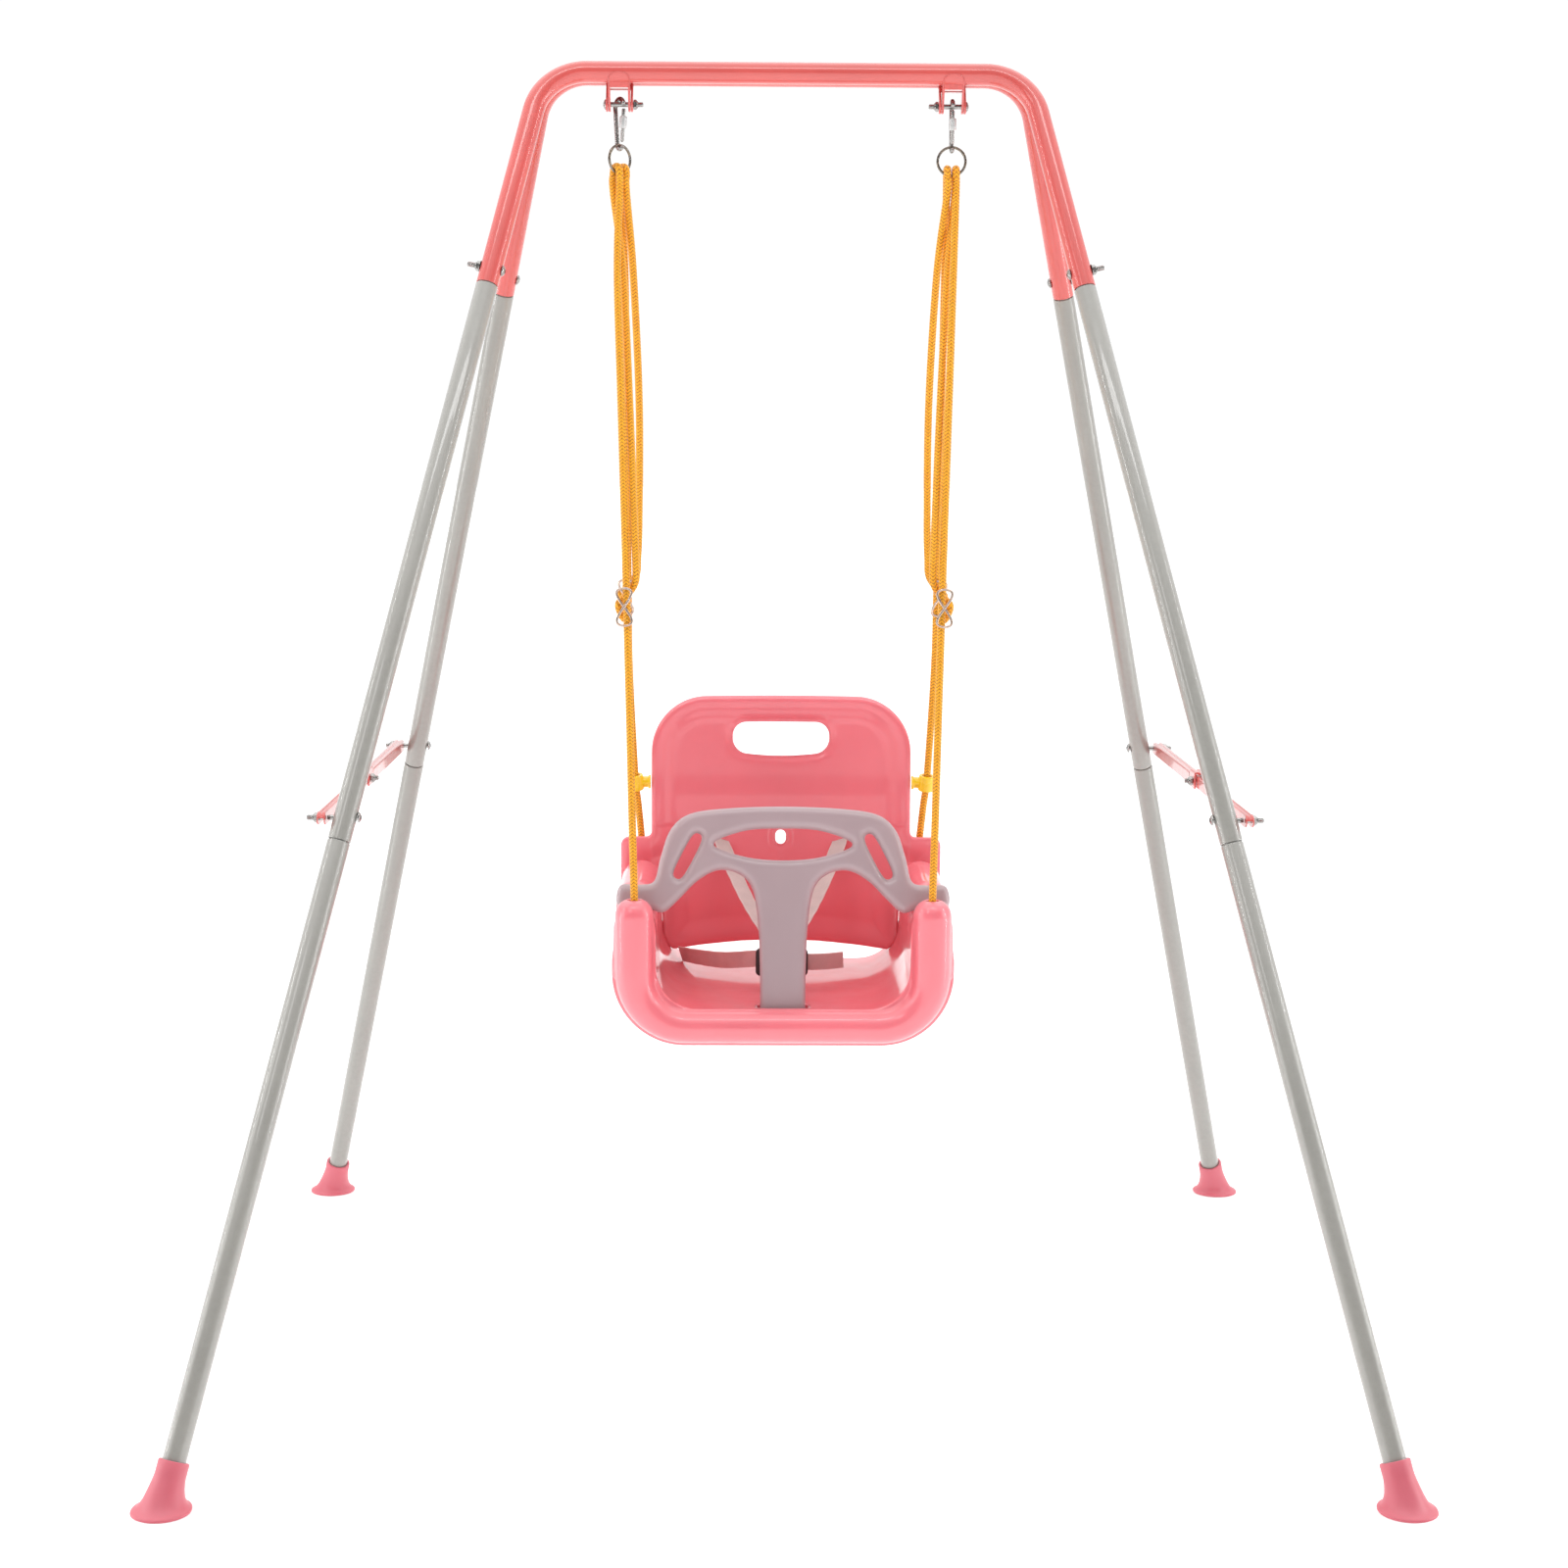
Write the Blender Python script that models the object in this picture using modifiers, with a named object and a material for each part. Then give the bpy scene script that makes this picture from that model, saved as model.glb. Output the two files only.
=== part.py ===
"""Folding A-frame toddler swing set, modelled open and standing on its four feet.

Metres, +Z up, origin on the floor under the middle of the top bar. X runs along the bar,
-Y is the front. The front frame carries the swing; the rear frame folds about the bolts
under the bar, and the braces between the legs fold upwards with it.
"""

import bmesh
import bpy
from math import atan2, cos, pi, sin, sqrt, tan
from mathutils import Matrix, Vector

# ---------------------------------------------------------------- driving dimensions
BAR_HEIGHT = 1.496          # centre line of the two top tubes
TUBE_RADIUS = 0.0125
TUBE_WALL = 0.0012
TUBE_OFFSET = 0.013         # each top tube's centre line from the mid plane
LEG_LEAN = 0.3615           # radians, each leg plane from vertical
LEG_SPLAY = 0.2225          # sideways run of a leg for each metre down its plane
CORNER_X = 0.279            # where the bar and leg centre lines would meet
BEND_RADIUS = 0.062
UPPER_JOINT = 0.2626        # distances down the leg plane from the bar
BRACE_PIVOT = 0.878
LOWER_JOINT = 0.9035
COLLAR_TOP = 1.5493
COLLAR_RADIUS = 0.0162
NECK_LENGTH = 0.042
NECK_RADIUS = 0.0105
GAP = 0.0003                # between touching pieces
FIT = 0.0004                # radial clearance of bolts in their holes

HINGE_HEIGHT = 1.461
HINGE_X = 0.1925
EAR_RADIUS = 0.0085
SHEET = 0.0025
EAR_GAP = {"front": 0.0102, "rear": 0.0131}     # inner face of each ear from the bracket's middle
BOLT_RADIUS = 0.003

LINK_X = 0.499              # middle of the brace links
LINK_HALF_WIDTH = 0.0065
TONGUE_HALF_WIDTH = 0.0045
LINK_HALF_HEIGHT = 0.007
LINK_WALL = 0.0015
CAP_HALF_WIDTH = 0.0075     # the rear link's flared cap over the middle pivot
CAP_TOP = 0.0118
HEAD_GAP = 0.0012           # between a brace bolt's head and its leg

HOOK_WIRE = 0.0027
HOOK_TOP_RADIUS = 0.010
HOOK_END_RADIUS = 0.0055
HOOK_TOP = HINGE_HEIGHT - 0.0036     # centre of the upper bow
HOOK_END = HINGE_HEIGHT - 0.0449     # centre of the lower bow
HOOK_TURN = {-1: 0.56, 1: 0.0}       # radians, how far each hook is turned about its own height
RING_TURN = {-1: 0.78, 1: 0.0}       # the same for the rings, which hang a little more askew
RING_RADIUS = 0.0162
RING_WIRE = 0.0016
RING_HEIGHT = 1.399
ROPE_RADIUS = 0.0045

SEAT_FRONT = -0.142         # line of the front posts
SEAT_REAR = 0.165
POST_X = 0.1715
POST_RADIUS = 0.0225
RIM_RADIUS = 0.019          # the rim along the seat's front edge
POST_TOP = 0.5555
FLOOR_HEIGHT = 0.4235
SKIN = 0.004
REAR_ROPE_Y = 0.148          # where the rear rope leaves the seat
ROPE_HOLE_RADIUS = 0.0062
ADJUSTER_HEIGHT = 0.8865

FRAME_PINK = ("frame_pink", (0.86, 0.26, 0.25), 0.32, 0.0)
LEG_GREY = ("leg_grey", (0.52, 0.53, 0.50), 0.35, 0.0)
FOOT_PINK = ("foot_pink", (0.74, 0.22, 0.27), 0.45, 0.0)
SEAT_PINK = ("seat_pink", (0.90, 0.24, 0.28), 0.3, 0.0)
GUARD_GREY = ("guard_grey", (0.47, 0.38, 0.39), 0.35, 0.0)
CONNECTOR_YELLOW = ("connector_yellow", (0.95, 0.72, 0.02), 0.35, 0.0)
ROPE_YELLOW = ("rope_yellow", (0.93, 0.40, 0.02), 0.8, 0.0)
STEEL = ("steel", (0.62, 0.62, 0.61), 0.25, 1.0)
WEBBING = ("webbing", (0.56, 0.42, 0.40), 0.8, 0.0)
BUCKLE_BLACK = ("buckle_black", (0.02, 0.02, 0.02), 0.45, 0.0)

SIDES = {"left": -1, "right": 1}
ENDS = {"front": -1, "rear": 1}


# ---------------------------------------------------------------- making objects
def clear_scene():
    for item in list(bpy.data.objects):
        bpy.data.objects.remove(item, do_unlink=True)


def collection(name):
    made = bpy.data.collections.new(name)
    bpy.context.scene.collection.children.link(made)
    return made


def material(spec):
    name, colour, roughness, metallic = spec
    if name in bpy.data.materials:
        return bpy.data.materials[name]
    made = bpy.data.materials.new(name)
    made.use_nodes = True
    shader = made.node_tree.nodes["Principled BSDF"]
    shader.inputs["Base Color"].default_value = (*colour, 1)
    shader.inputs["Roughness"].default_value = roughness
    shader.inputs["Metallic"].default_value = metallic
    made.diffuse_color = (*colour, 1)
    return made


def place(name, data, spec):
    """An object of the swing set, in its own collection."""
    made = bpy.data.objects.new(name, data)
    SWING_SET.objects.link(made)
    if spec:
        data.materials.append(material(spec))
    return made


def as_cutter(item):
    SWING_SET.objects.unlink(item)
    CUTTERS.objects.link(item)
    item.hide_render = True
    item.display_type = "WIRE"
    return item


def boolean(target, tool, operation):
    step = target.modifiers.new(operation.lower(), "BOOLEAN")
    step.operation = operation
    step.solver = "EXACT"
    step.object = as_cutter(tool)


def cut(target, *tools):
    for tool in tools:
        boolean(target, tool, "DIFFERENCE")


def fuse(target, *tools):
    for tool in tools:
        boolean(target, tool, "UNION")


def along(item, start, direction):
    """Puts an object's origin at start with its local Z along direction."""
    turn = Vector(direction).to_track_quat("Z", "Y").to_matrix().to_4x4()
    item.matrix_world = Matrix.Translation(Vector(start)) @ turn


def rod(name, start, end, radius, sides, spec=None):
    run = Vector(end) - Vector(start)
    mesh = bpy.data.meshes.new(name)
    shape = bmesh.new()
    bmesh.ops.create_cone(
        shape, cap_ends=True, segments=sides, radius1=radius, radius2=radius, depth=run.length
    )
    bmesh.ops.translate(shape, vec=(0, 0, run.length / 2), verts=shape.verts)
    shape.to_mesh(mesh)
    shape.free()
    made = place(name, mesh, spec)
    along(made, start, run)
    return made


def block(name, low, high, spec=None):
    low, high = Vector(low), Vector(high)
    mesh = bpy.data.meshes.new(name)
    shape = bmesh.new()
    bmesh.ops.create_cube(shape, size=1)
    bmesh.ops.scale(shape, vec=high - low, verts=shape.verts)
    bmesh.ops.translate(shape, vec=(low + high) / 2, verts=shape.verts)
    shape.to_mesh(mesh)
    shape.free()
    return place(name, mesh, spec)


def loft(name, rings, spec=None):
    """A closed solid through rings of equally many points, capped at both ends."""
    mesh = bpy.data.meshes.new(name)
    shape = bmesh.new()
    rows = [[shape.verts.new(point) for point in ring] for ring in rings]
    count = len(rings[0])
    for low, high in zip(rows, rows[1:]):
        for i in range(count):
            j = (i + 1) % count
            shape.faces.new((low[i], low[j], high[j], high[i]))
    shape.faces.new(rows[0][::-1])
    shape.faces.new(rows[-1])
    bmesh.ops.recalc_face_normals(shape, faces=shape.faces)
    shape.to_mesh(mesh)
    shape.free()
    return place(name, mesh, spec)


def sheet(name, rows, thickness, spec):
    """A shell: the open surface through rows of points, thickened evenly about itself."""
    mesh = bpy.data.meshes.new(name)
    shape = bmesh.new()
    grid = [[shape.verts.new(point) for point in row] for row in rows]
    for low, high in zip(grid, grid[1:]):
        for i in range(len(low) - 1):
            shape.faces.new((low[i], low[i + 1], high[i + 1], high[i]))
    shape.to_mesh(mesh)
    shape.free()
    made = place(name, mesh, spec)
    solid = made.modifiers.new("thickness", "SOLIDIFY")
    solid.thickness = thickness
    solid.offset = 0
    solid.use_even_offset = True
    return made


def turned(name, profile, steps, spec=None):
    """A closed profile of (radius, height) points turned about local Z."""
    mesh = bpy.data.meshes.new(name)
    points = [(radius, 0, height) for radius, height in profile]
    edges = [(i, (i + 1) % len(points)) for i in range(len(points))]
    mesh.from_pydata(points, edges, [])
    made = place(name, mesh, spec)
    screw = made.modifiers.new("turn", "SCREW")
    screw.steps = steps
    screw.render_steps = steps
    screw.use_merge_vertices = True
    screw.merge_threshold = 0.00001
    return made


def wire(name, points, radius, resolution, spec=None, cyclic=False, capped=True):
    """A round wire or tube through points: a curve with a bevel depth."""
    curve = bpy.data.curves.new(name, "CURVE")
    curve.dimensions = "3D"
    curve.bevel_depth = radius
    curve.bevel_resolution = resolution
    curve.use_fill_caps = capped and not cyclic
    spline = curve.splines.new("POLY")
    spline.points.add(len(points) - 1)
    for slot, point in zip(spline.points, points):
        slot.co = (*point, 1)
    spline.use_cyclic_u = cyclic
    return place(name, curve, spec)


def as_mesh(item):
    """Turns a curve object into a welded mesh object of the same name."""
    name = item.name
    evaluated = item.evaluated_get(bpy.context.evaluated_depsgraph_get())
    mesh = bpy.data.meshes.new_from_object(evaluated)
    weld = bmesh.new()
    weld.from_mesh(mesh)
    bmesh.ops.remove_doubles(weld, verts=weld.verts, dist=0.00001)
    weld.to_mesh(mesh)
    weld.free()
    matrix = item.matrix_world.copy()
    bpy.data.objects.remove(item, do_unlink=True)
    made = bpy.data.objects.new(name, mesh)
    made.matrix_world = matrix
    SWING_SET.objects.link(made)
    return made


def smooth_path(points, per_span):
    """Points on the Catmull-Rom curve through the route's own points."""
    points = [Vector(p) for p in points]
    padded = [2 * points[0] - points[1], *points, 2 * points[-1] - points[-2]]
    path = []
    for a, b, c, d in zip(padded, padded[1:], padded[2:], padded[3:]):
        for k in range(per_span):
            t = k / per_span
            path.append(
                0.5 * (2 * b + (c - a) * t + (2 * a - 5 * b + 4 * c - d) * t**2
                       + (3 * b - a - 3 * c + d) * t**3)
            )
    path.append(points[-1])
    return path


def arc(centre, radius, first, last, steps):
    """Points (u, v) on an arc, both ends included, angles in radians."""
    u, v = centre
    angles = [first + (last - first) * i / steps for i in range(steps + 1)]
    return [(u + radius * cos(a), v + radius * sin(a)) for a in angles]


# ---------------------------------------------------------------- frame geometry
LEG_STRETCH = sqrt(1 + LEG_SPLAY**2)
SPLAY_ANGLE = atan2(LEG_SPLAY, 1)


def leg_point(side, end, down):
    """A point of a leg's centre line, down metres below the bar in the leg plane."""
    return Vector((
        side * (CORNER_X + down * LEG_SPLAY),
        end * (TUBE_OFFSET + down * sin(LEG_LEAN)),
        BAR_HEIGHT - down * cos(LEG_LEAN),
    ))


def leg_direction(side, end):
    """Unit vector up the leg."""
    return (leg_point(side, end, 0) - leg_point(side, end, 1)).normalized()


def bolt(name, head, tip, spec=STEEL, head_radius=0.006, head_height=0.0035, nut_back=0.007):
    """A domed bolt from under its head to the tip, with its nut nut_back short of the tip."""
    run = Vector(tip) - Vector(head)
    length = run.length
    nut_height = 0.005
    nut_radius = 0.0058
    nut_end = length - nut_back
    stations = [
        (-head_height, head_radius * 0.55),
        (-head_height * 0.5, head_radius * 0.92),
        (0, head_radius),
        (0, BOLT_RADIUS),
    ]
    if nut_back:
        stations += [
            (nut_end - nut_height, BOLT_RADIUS),
            (nut_end - nut_height, nut_radius),
            (nut_end, nut_radius),
            (nut_end, BOLT_RADIUS),
        ]
    stations.append((length, BOLT_RADIUS))
    rings = [
        [(radius * cos(k * pi / 3), radius * sin(k * pi / 3), height) for k in range(6)]
        for height, radius in stations
    ]
    made = loft(name, rings, spec)
    along(made, head, run)
    return made


def through_hole(name, centre, direction, reach=0.03):
    """A cutter for a bolt hole, reach metres to both sides of centre."""
    offset = Vector(direction).normalized() * reach
    return rod(name, Vector(centre) - offset, Vector(centre) + offset, BOLT_RADIUS + FIT, 8)


def joint_bolt_axis(side, end):
    """Square to the leg, in its leaning plane, pointing outwards."""
    down = Vector((0, end * sin(LEG_LEAN), -cos(LEG_LEAN)))
    return (Vector((side, 0, 0)) * cos(SPLAY_ANGLE) - down * sin(SPLAY_ANGLE)).normalized()


JOINT_BOLT = UPPER_JOINT - 0.019        # the bolt through the neck, above the joint


def top_tube(end_name):
    """Bent tube of one frame: leg stub, bend, bar, bend, leg stub."""
    end = ENDS[end_name]
    tangent = BEND_RADIUS * tan((pi / 2 - SPLAY_ANGLE) / 2)
    bend_x = CORNER_X - tangent
    swept = pi / 2 - SPLAY_ANGLE
    half = [(CORNER_X + UPPER_JOINT * LEG_SPLAY, UPPER_JOINT)]
    half += arc((bend_x, BEND_RADIUS), BEND_RADIUS, swept - pi / 2, -pi / 2, 6)
    outline = half + [(-u, v) for u, v in reversed(half)]
    points = [
        (u, end * (TUBE_OFFSET + v * sin(LEG_LEAN)), BAR_HEIGHT - v * cos(LEG_LEAN))
        for u, v in outline
    ]
    name = f"{end_name}_top_tube"
    tube = as_mesh(wire(name, points, TUBE_RADIUS, 3, FRAME_PINK, capped=False))
    wall = tube.modifiers.new("wall", "SOLIDIFY")
    wall.thickness = TUBE_WALL
    wall.offset = -1
    for side_name, side in SIDES.items():
        centre = leg_point(side, end, JOINT_BOLT)
        axis = joint_bolt_axis(side, end)
        cut(tube, through_hole(f"{name}_{side_name}_hole", centre, axis))
        bolt(
            f"leg_joint_bolt_{end_name}_{side_name}",
            centre - axis * (TUBE_RADIUS + GAP),
            centre + axis * 0.0275,
            nut_back=0.009,
        )


LEG_END = (BAR_HEIGHT - 0.026) / cos(LEG_LEAN)      # where the leg stops inside its foot


def leg_tube(name, side, end, top, bottom, holes):
    """A grey leg tube between two distances, with a narrow neck above its upper end."""
    start = leg_point(side, end, top)
    length = (bottom - top) * LEG_STRETCH
    bore = TUBE_RADIUS - TUBE_WALL
    neck_bore = NECK_RADIUS - TUBE_WALL
    profile = [
        (NECK_RADIUS, NECK_LENGTH),
        (NECK_RADIUS, 0),
        (TUBE_RADIUS, -0.001),
        (TUBE_RADIUS, -length),
        (bore, -length),
        (bore, -0.004),
        (neck_bore, -0.001),
        (neck_bore, NECK_LENGTH),
    ]
    tube = turned(name, profile, 10, LEG_GREY)
    along(tube, start, leg_direction(side, end))
    for label, centre, direction in holes:
        cut(tube, through_hole(f"{name}_{label}_hole", centre, direction))
    return tube


def foot(name, side, end):
    """A flared foot, flat on the floor, with a collar in line with the leg."""
    centre = leg_point(side, end, BAR_HEIGHT / cos(LEG_LEAN))
    flare = [(0.031, 0.0), (0.031, 0.004), (0.024, 0.011), (0.019, 0.022)]
    rings = [
        [(radius * cos(k * pi / 8), radius * sin(k * pi / 8), height) for k in range(16)]
        for radius, height in flare
    ]
    up = leg_direction(side, end)
    rings = [[(x + up.x / up.z * z, y + up.y / up.z * z, z) for x, y, z in ring] for ring in rings]
    base = loft(name, rings, FOOT_PINK)
    base.location = centre
    collar_top = leg_point(side, end, COLLAR_TOP)
    collar = rod(f"{name}_collar", centre + up * 0.012, collar_top, COLLAR_RADIUS, 16)
    bore_start = centre + up * 0.0185
    bore = rod(f"{name}_bore", bore_start, bore_start + up * 0.08, TUBE_RADIUS + 2 * GAP, 12)
    fuse(base, collar)
    cut(base, bore)


def frame(end_name):
    end = ENDS[end_name]
    top_tube(end_name)
    for side_name, side in SIDES.items():
        tag = f"{end_name}_{side_name}"
        pivot = leg_point(side, end, BRACE_PIVOT)
        across = Vector((1, 0, 0))
        joint = ("joint", leg_point(side, end, JOINT_BOLT), joint_bolt_axis(side, end))
        brace = ("brace", pivot, across)
        leg_tube(f"upper_leg_{tag}", side, end, UPPER_JOINT + GAP, LOWER_JOINT - GAP, [joint, brace])
        leg_tube(f"lower_leg_{tag}", side, end, LOWER_JOINT + GAP, LEG_END, [brace])
        foot(f"foot_{tag}", side, end)


# ---------------------------------------------------------------- hinge brackets
def hinge_bracket(end_name, side_name):
    """A sheet clevis under one top tube. The rear one straddles the front one."""
    end, side = ENDS[end_name], SIDES[side_name]
    inner = EAR_GAP[end_name]
    outer = inner + SHEET
    name = f"hinge_bracket_{end_name}_{side_name}"
    lower = arc((0, 0), EAR_RADIUS, -pi, 0, 8)
    rise = HINGE_HEIGHT - BAR_HEIGHT
    saddle_end = 0.95       # radians below level, where the ears leave the tube
    upper = arc((end * TUBE_OFFSET, -rise), TUBE_RADIUS + GAP, -saddle_end, saddle_end - pi, 5)
    outline = lower + upper
    rings = [
        [(side * HINGE_X + x, y, HINGE_HEIGHT + z) for y, z in outline] for x in (-outer, outer)
    ]
    bracket = loft(name, rings, FRAME_PINK)
    web_bottom = HINGE_HEIGHT + 0.0172
    reach = 4 * EAR_RADIUS
    low = (side * HINGE_X - inner, -reach, HINGE_HEIGHT - reach)
    high = (side * HINGE_X + inner, reach, web_bottom)
    gap = block(f"{name}_gap", low, high)
    pivot = Vector((side * HINGE_X, 0, HINGE_HEIGHT))
    cut(bracket, gap, through_hole(f"{name}_hole", pivot, (1, 0, 0)))


def hinge_bolts():
    """The bolts that both frames and the hooks hang on: heads outside, nuts inside."""
    for side_name, side in SIDES.items():
        reach = EAR_GAP["rear"] + SHEET + GAP
        head = (side * (HINGE_X + reach), 0, HINGE_HEIGHT)
        tip = (side * (HINGE_X - reach - 0.0115), 0, HINGE_HEIGHT)
        bolt(f"hinge_bolt_{side_name}", head, tip, nut_back=0.0062, head_height=0.003)


# ---------------------------------------------------------------- braces
PIVOT_Y = TUBE_OFFSET + BRACE_PIVOT * sin(LEG_LEAN)
PIVOT_Z = BAR_HEIGHT - BRACE_PIVOT * cos(LEG_LEAN)


def channel_ring(x, y, half_width, low, high):
    """Section of an inverted channel at y: open below, walls of LINK_WALL."""
    inner = half_width - LINK_WALL
    roof = high - LINK_WALL
    section = [(-half_width, low), (-half_width, high), (half_width, high), (half_width, low)]
    section += [(inner, low), (inner, roof), (-inner, roof), (-inner, low)]
    return [(x + u, y, PIVOT_Z + z) for u, z in section]


def brace(side_name):
    """The folding brace of one side: rear link, front link, and the bolts at its three pivots."""
    side = SIDES[side_name]
    x = side * LINK_X
    across = Vector((1, 0, 0))
    middle = Vector((x, 0, PIVOT_Z))
    rear = Vector((x, PIVOT_Y, PIVOT_Z))
    front = Vector((x, -PIVOT_Y, PIVOT_Z))
    half = LINK_HALF_HEIGHT
    stations = [
        (PIVOT_Y + 0.009, LINK_HALF_WIDTH, half),
        (0.036, LINK_HALF_WIDTH, half),
        (0.022, CAP_HALF_WIDTH, CAP_TOP),
        (-0.012, CAP_HALF_WIDTH, CAP_TOP),
    ]
    rear_link = loft(
        f"brace_rear_link_{side_name}",
        [channel_ring(x, y, width, -half, top) for y, width, top in stations],
        FRAME_PINK,
    )
    front_link = loft(
        f"brace_front_link_{side_name}",
        [channel_ring(x, y, TONGUE_HALF_WIDTH, -half, half) for y in (0.007, -PIVOT_Y - 0.012)],
        FRAME_PINK,
    )
    for name, link, pivots in (
        ("rear_link", rear_link, (middle, rear)),
        ("front_link", front_link, (middle, front)),
    ):
        for label, pivot in zip(("middle", "end"), pivots):
            cut(link, through_hole(f"{name}_{side_name}_{label}", pivot, across, 0.012))
    outwards = Vector((side, 0, 0))
    leg_centre = CORNER_X + BRACE_PIVOT * LEG_SPLAY
    head_x = leg_centre - TUBE_RADIUS / cos(SPLAY_ANGLE) - HEAD_GAP
    link_outside = LINK_X + LINK_HALF_WIDTH + GAP
    cap_outside = CAP_HALF_WIDTH + GAP
    bolt(
        f"brace_rear_bolt_{side_name}",
        rear + outwards * (head_x - LINK_X),
        rear + outwards * (link_outside + 0.010 - LINK_X),
        nut_back=0.0045,
    )
    bolt(
        f"brace_middle_bolt_{side_name}",
        middle + outwards * cap_outside,
        middle - outwards * (cap_outside + 0.0095),
        nut_back=0.004,
    )
    tongue_inside = LINK_X - TONGUE_HALF_WIDTH
    open_pivot = 0.0008
    bolt(
        f"brace_front_bolt_{side_name}",
        front + outwards * (head_x - LINK_X),
        front + outwards * (tongue_inside - open_pivot - LINK_X),
        nut_back=0,
    )
    bolt(
        f"brace_front_nut_{side_name}",
        front + outwards * (TONGUE_HALF_WIDTH + GAP + 0.012),
        front - outwards * (TONGUE_HALF_WIDTH - GAP),
        head_radius=BOLT_RADIUS,
        head_height=0.0005,
        nut_back=0.0150,
    )


# ---------------------------------------------------------------- hooks and rings
def hanger_point(side, across, depth, height, turns=HOOK_TURN):
    """A point of a hanger: across is outwards, square to the hook's plane; depth is to its rear."""
    turn = turns[side]
    x = across * cos(turn) + depth * sin(turn)
    y = depth * cos(turn) - across * sin(turn)
    return Vector((side * (HINGE_X + x), y, height))


def hook(side_name):
    """A steel snap hook: an open bow and, in its gap, a sprung gate with a screw sleeve."""
    side = SIDES[side_name]
    top_gap, end_gap = 0.25, 0.35
    upper = arc((0, HOOK_TOP), HOOK_TOP_RADIUS, top_gap, pi, 10)
    lower = arc((0, HOOK_END), HOOK_END_RADIUS, pi, 2 * pi - end_gap, 8)
    points = [hanger_point(side, 0, -u, v) for u, v in upper + lower]
    wire(f"hook_body_{side_name}", points, HOOK_WIRE, 2, STEEL)
    pivot = hanger_point(side, 0, -HOOK_END_RADIUS - 0.0004, HOOK_END + 0.0042)
    tip = hanger_point(side, 0, -HOOK_TOP_RADIUS + 0.0003, HOOK_TOP - 0.0016)
    length = (tip - pivot).length
    stem, sleeve = 0.0023, 0.0044
    low, high = length * 0.38, length * 0.76
    stations = [
        (-0.0021, 0.0010),
        (-0.0012, 0.0019),
        (0, stem),
        (low, stem),
        (low, sleeve),
        (high, sleeve),
        (high, stem),
        (length, stem),
    ]
    rings = [
        [(r * cos(k * pi / 4), r * sin(k * pi / 4), height) for k in range(8)]
        for height, r in stations
    ]
    gate = loft(f"hook_gate_{side_name}", rings, STEEL)
    along(gate, pivot, tip - pivot)


def hanging_ring(side_name):
    side = SIDES[side_name]
    circle = arc((0, RING_HEIGHT), RING_RADIUS, 0, 2 * pi, 18)[:-1]
    points = [hanger_point(side, u, 0, v, RING_TURN) for u, v in circle]
    wire(f"ring_{side_name}", points, RING_WIRE, 2, STEEL, cyclic=True)


# ---------------------------------------------------------------- ropes
LOOP = 0.0050               # each loop's place along the ring, from its middle
STRAND = 0.0075             # each strand's depth from the ring's wire
STRAND_TOP = 1.372          # where the strands leave the loops over the ring
LOOP_TOP = RING_HEIGHT - sqrt(RING_RADIUS**2 - LOOP**2) + RING_WIRE + ROPE_RADIUS + 0.0009
ROPE_SLOPE = (-SEAT_FRONT - STRAND) / (STRAND_TOP - POST_TOP)
GUARD_LEAN = atan2(ROPE_SLOPE, 1)
REAR_SLOPE = 0.145          # of the rear ropes at their adjusters
ADJUSTER_OFFSET = 0.0068    # of an adjuster's wire from the rope's centre line
CONNECTOR = Vector((0.1805, 0.1225, 0.6545))


def front_rope_route(side):
    """From inside the front post, over the ring, and back to wind round the adjuster."""
    def at(x, z, further=0.0):
        return Vector((side * x, -STRAND - (STRAND_TOP - z) * ROPE_SLOPE + further, z))

    main = [at(POST_X - 0.0003, 0.518), at(POST_X, POST_TOP), at(0.1743, 0.64), at(0.1775, 0.75)]
    main += [at(0.1800, 0.83), at(0.1817, ADJUSTER_HEIGHT), at(0.1840, 0.96), at(0.1895, 1.12)]
    main += [at(0.1945, 1.27)]
    loop = loop_over_ring(side, LOOP, rear_first=False)
    tail = [at(0.1885, 1.27, 0.0125), at(0.1800, 1.12, 0.0070), at(0.1735, 0.98, 0.0010)]
    tail += [at(0.1715, 0.935, 0.0005), at(0.1722, 0.915, 0.0040), at(0.1800, 0.9015, 0.0102)]
    tail += [at(0.1868, 0.895, 0.0096), at(0.1914, 0.8885, 0.0042), at(0.1885, 0.877, 0.0088)]
    tail += [at(0.1825, 0.869, 0.0107)]
    return main + loop + tail


def rear_rope_route(side):
    """From inside the rear post, through the connector, over the ring and to its adjuster."""
    def at(x, z, y):
        return Vector((side * x, y, z))

    main = [at(POST_X - 0.0003, 0.462, 0.1515), at(POST_X, 0.500, REAR_ROPE_Y), at(0.1722, 0.560, 0.1395)]
    main += [at(0.1768, 0.620, 0.1290), at(CONNECTOR.x, CONNECTOR.z, CONNECTOR.y)]
    main += [at(0.1838, 0.720, 0.1110), at(0.1862, 0.780, 0.1010), at(0.1872, 0.830, 0.0900)]
    main += [at(0.1872, ADJUSTER_HEIGHT, 0.0822), at(0.1874, 0.96, 0.0700), at(0.1876, 1.12, 0.0455)]
    main += [at(0.1878, 1.27, 0.0225)]
    loop = loop_over_ring(side, -LOOP, rear_first=True)
    tail = [at(0.1775, 1.27, 0.0080), at(0.1720, 1.12, 0.0380), at(0.1735, 0.98, 0.0650)]
    tail += [at(0.1755, 0.935, 0.0746), at(0.1772, 0.915, 0.0815), at(0.1852, 0.9015, 0.0902)]
    tail += [at(0.1922, 0.895, 0.0904), at(0.1970, 0.8885, 0.0861), at(0.1942, 0.877, 0.0925)]
    tail += [at(0.1885, 0.869, 0.0955)]
    return main + loop + tail


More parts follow.
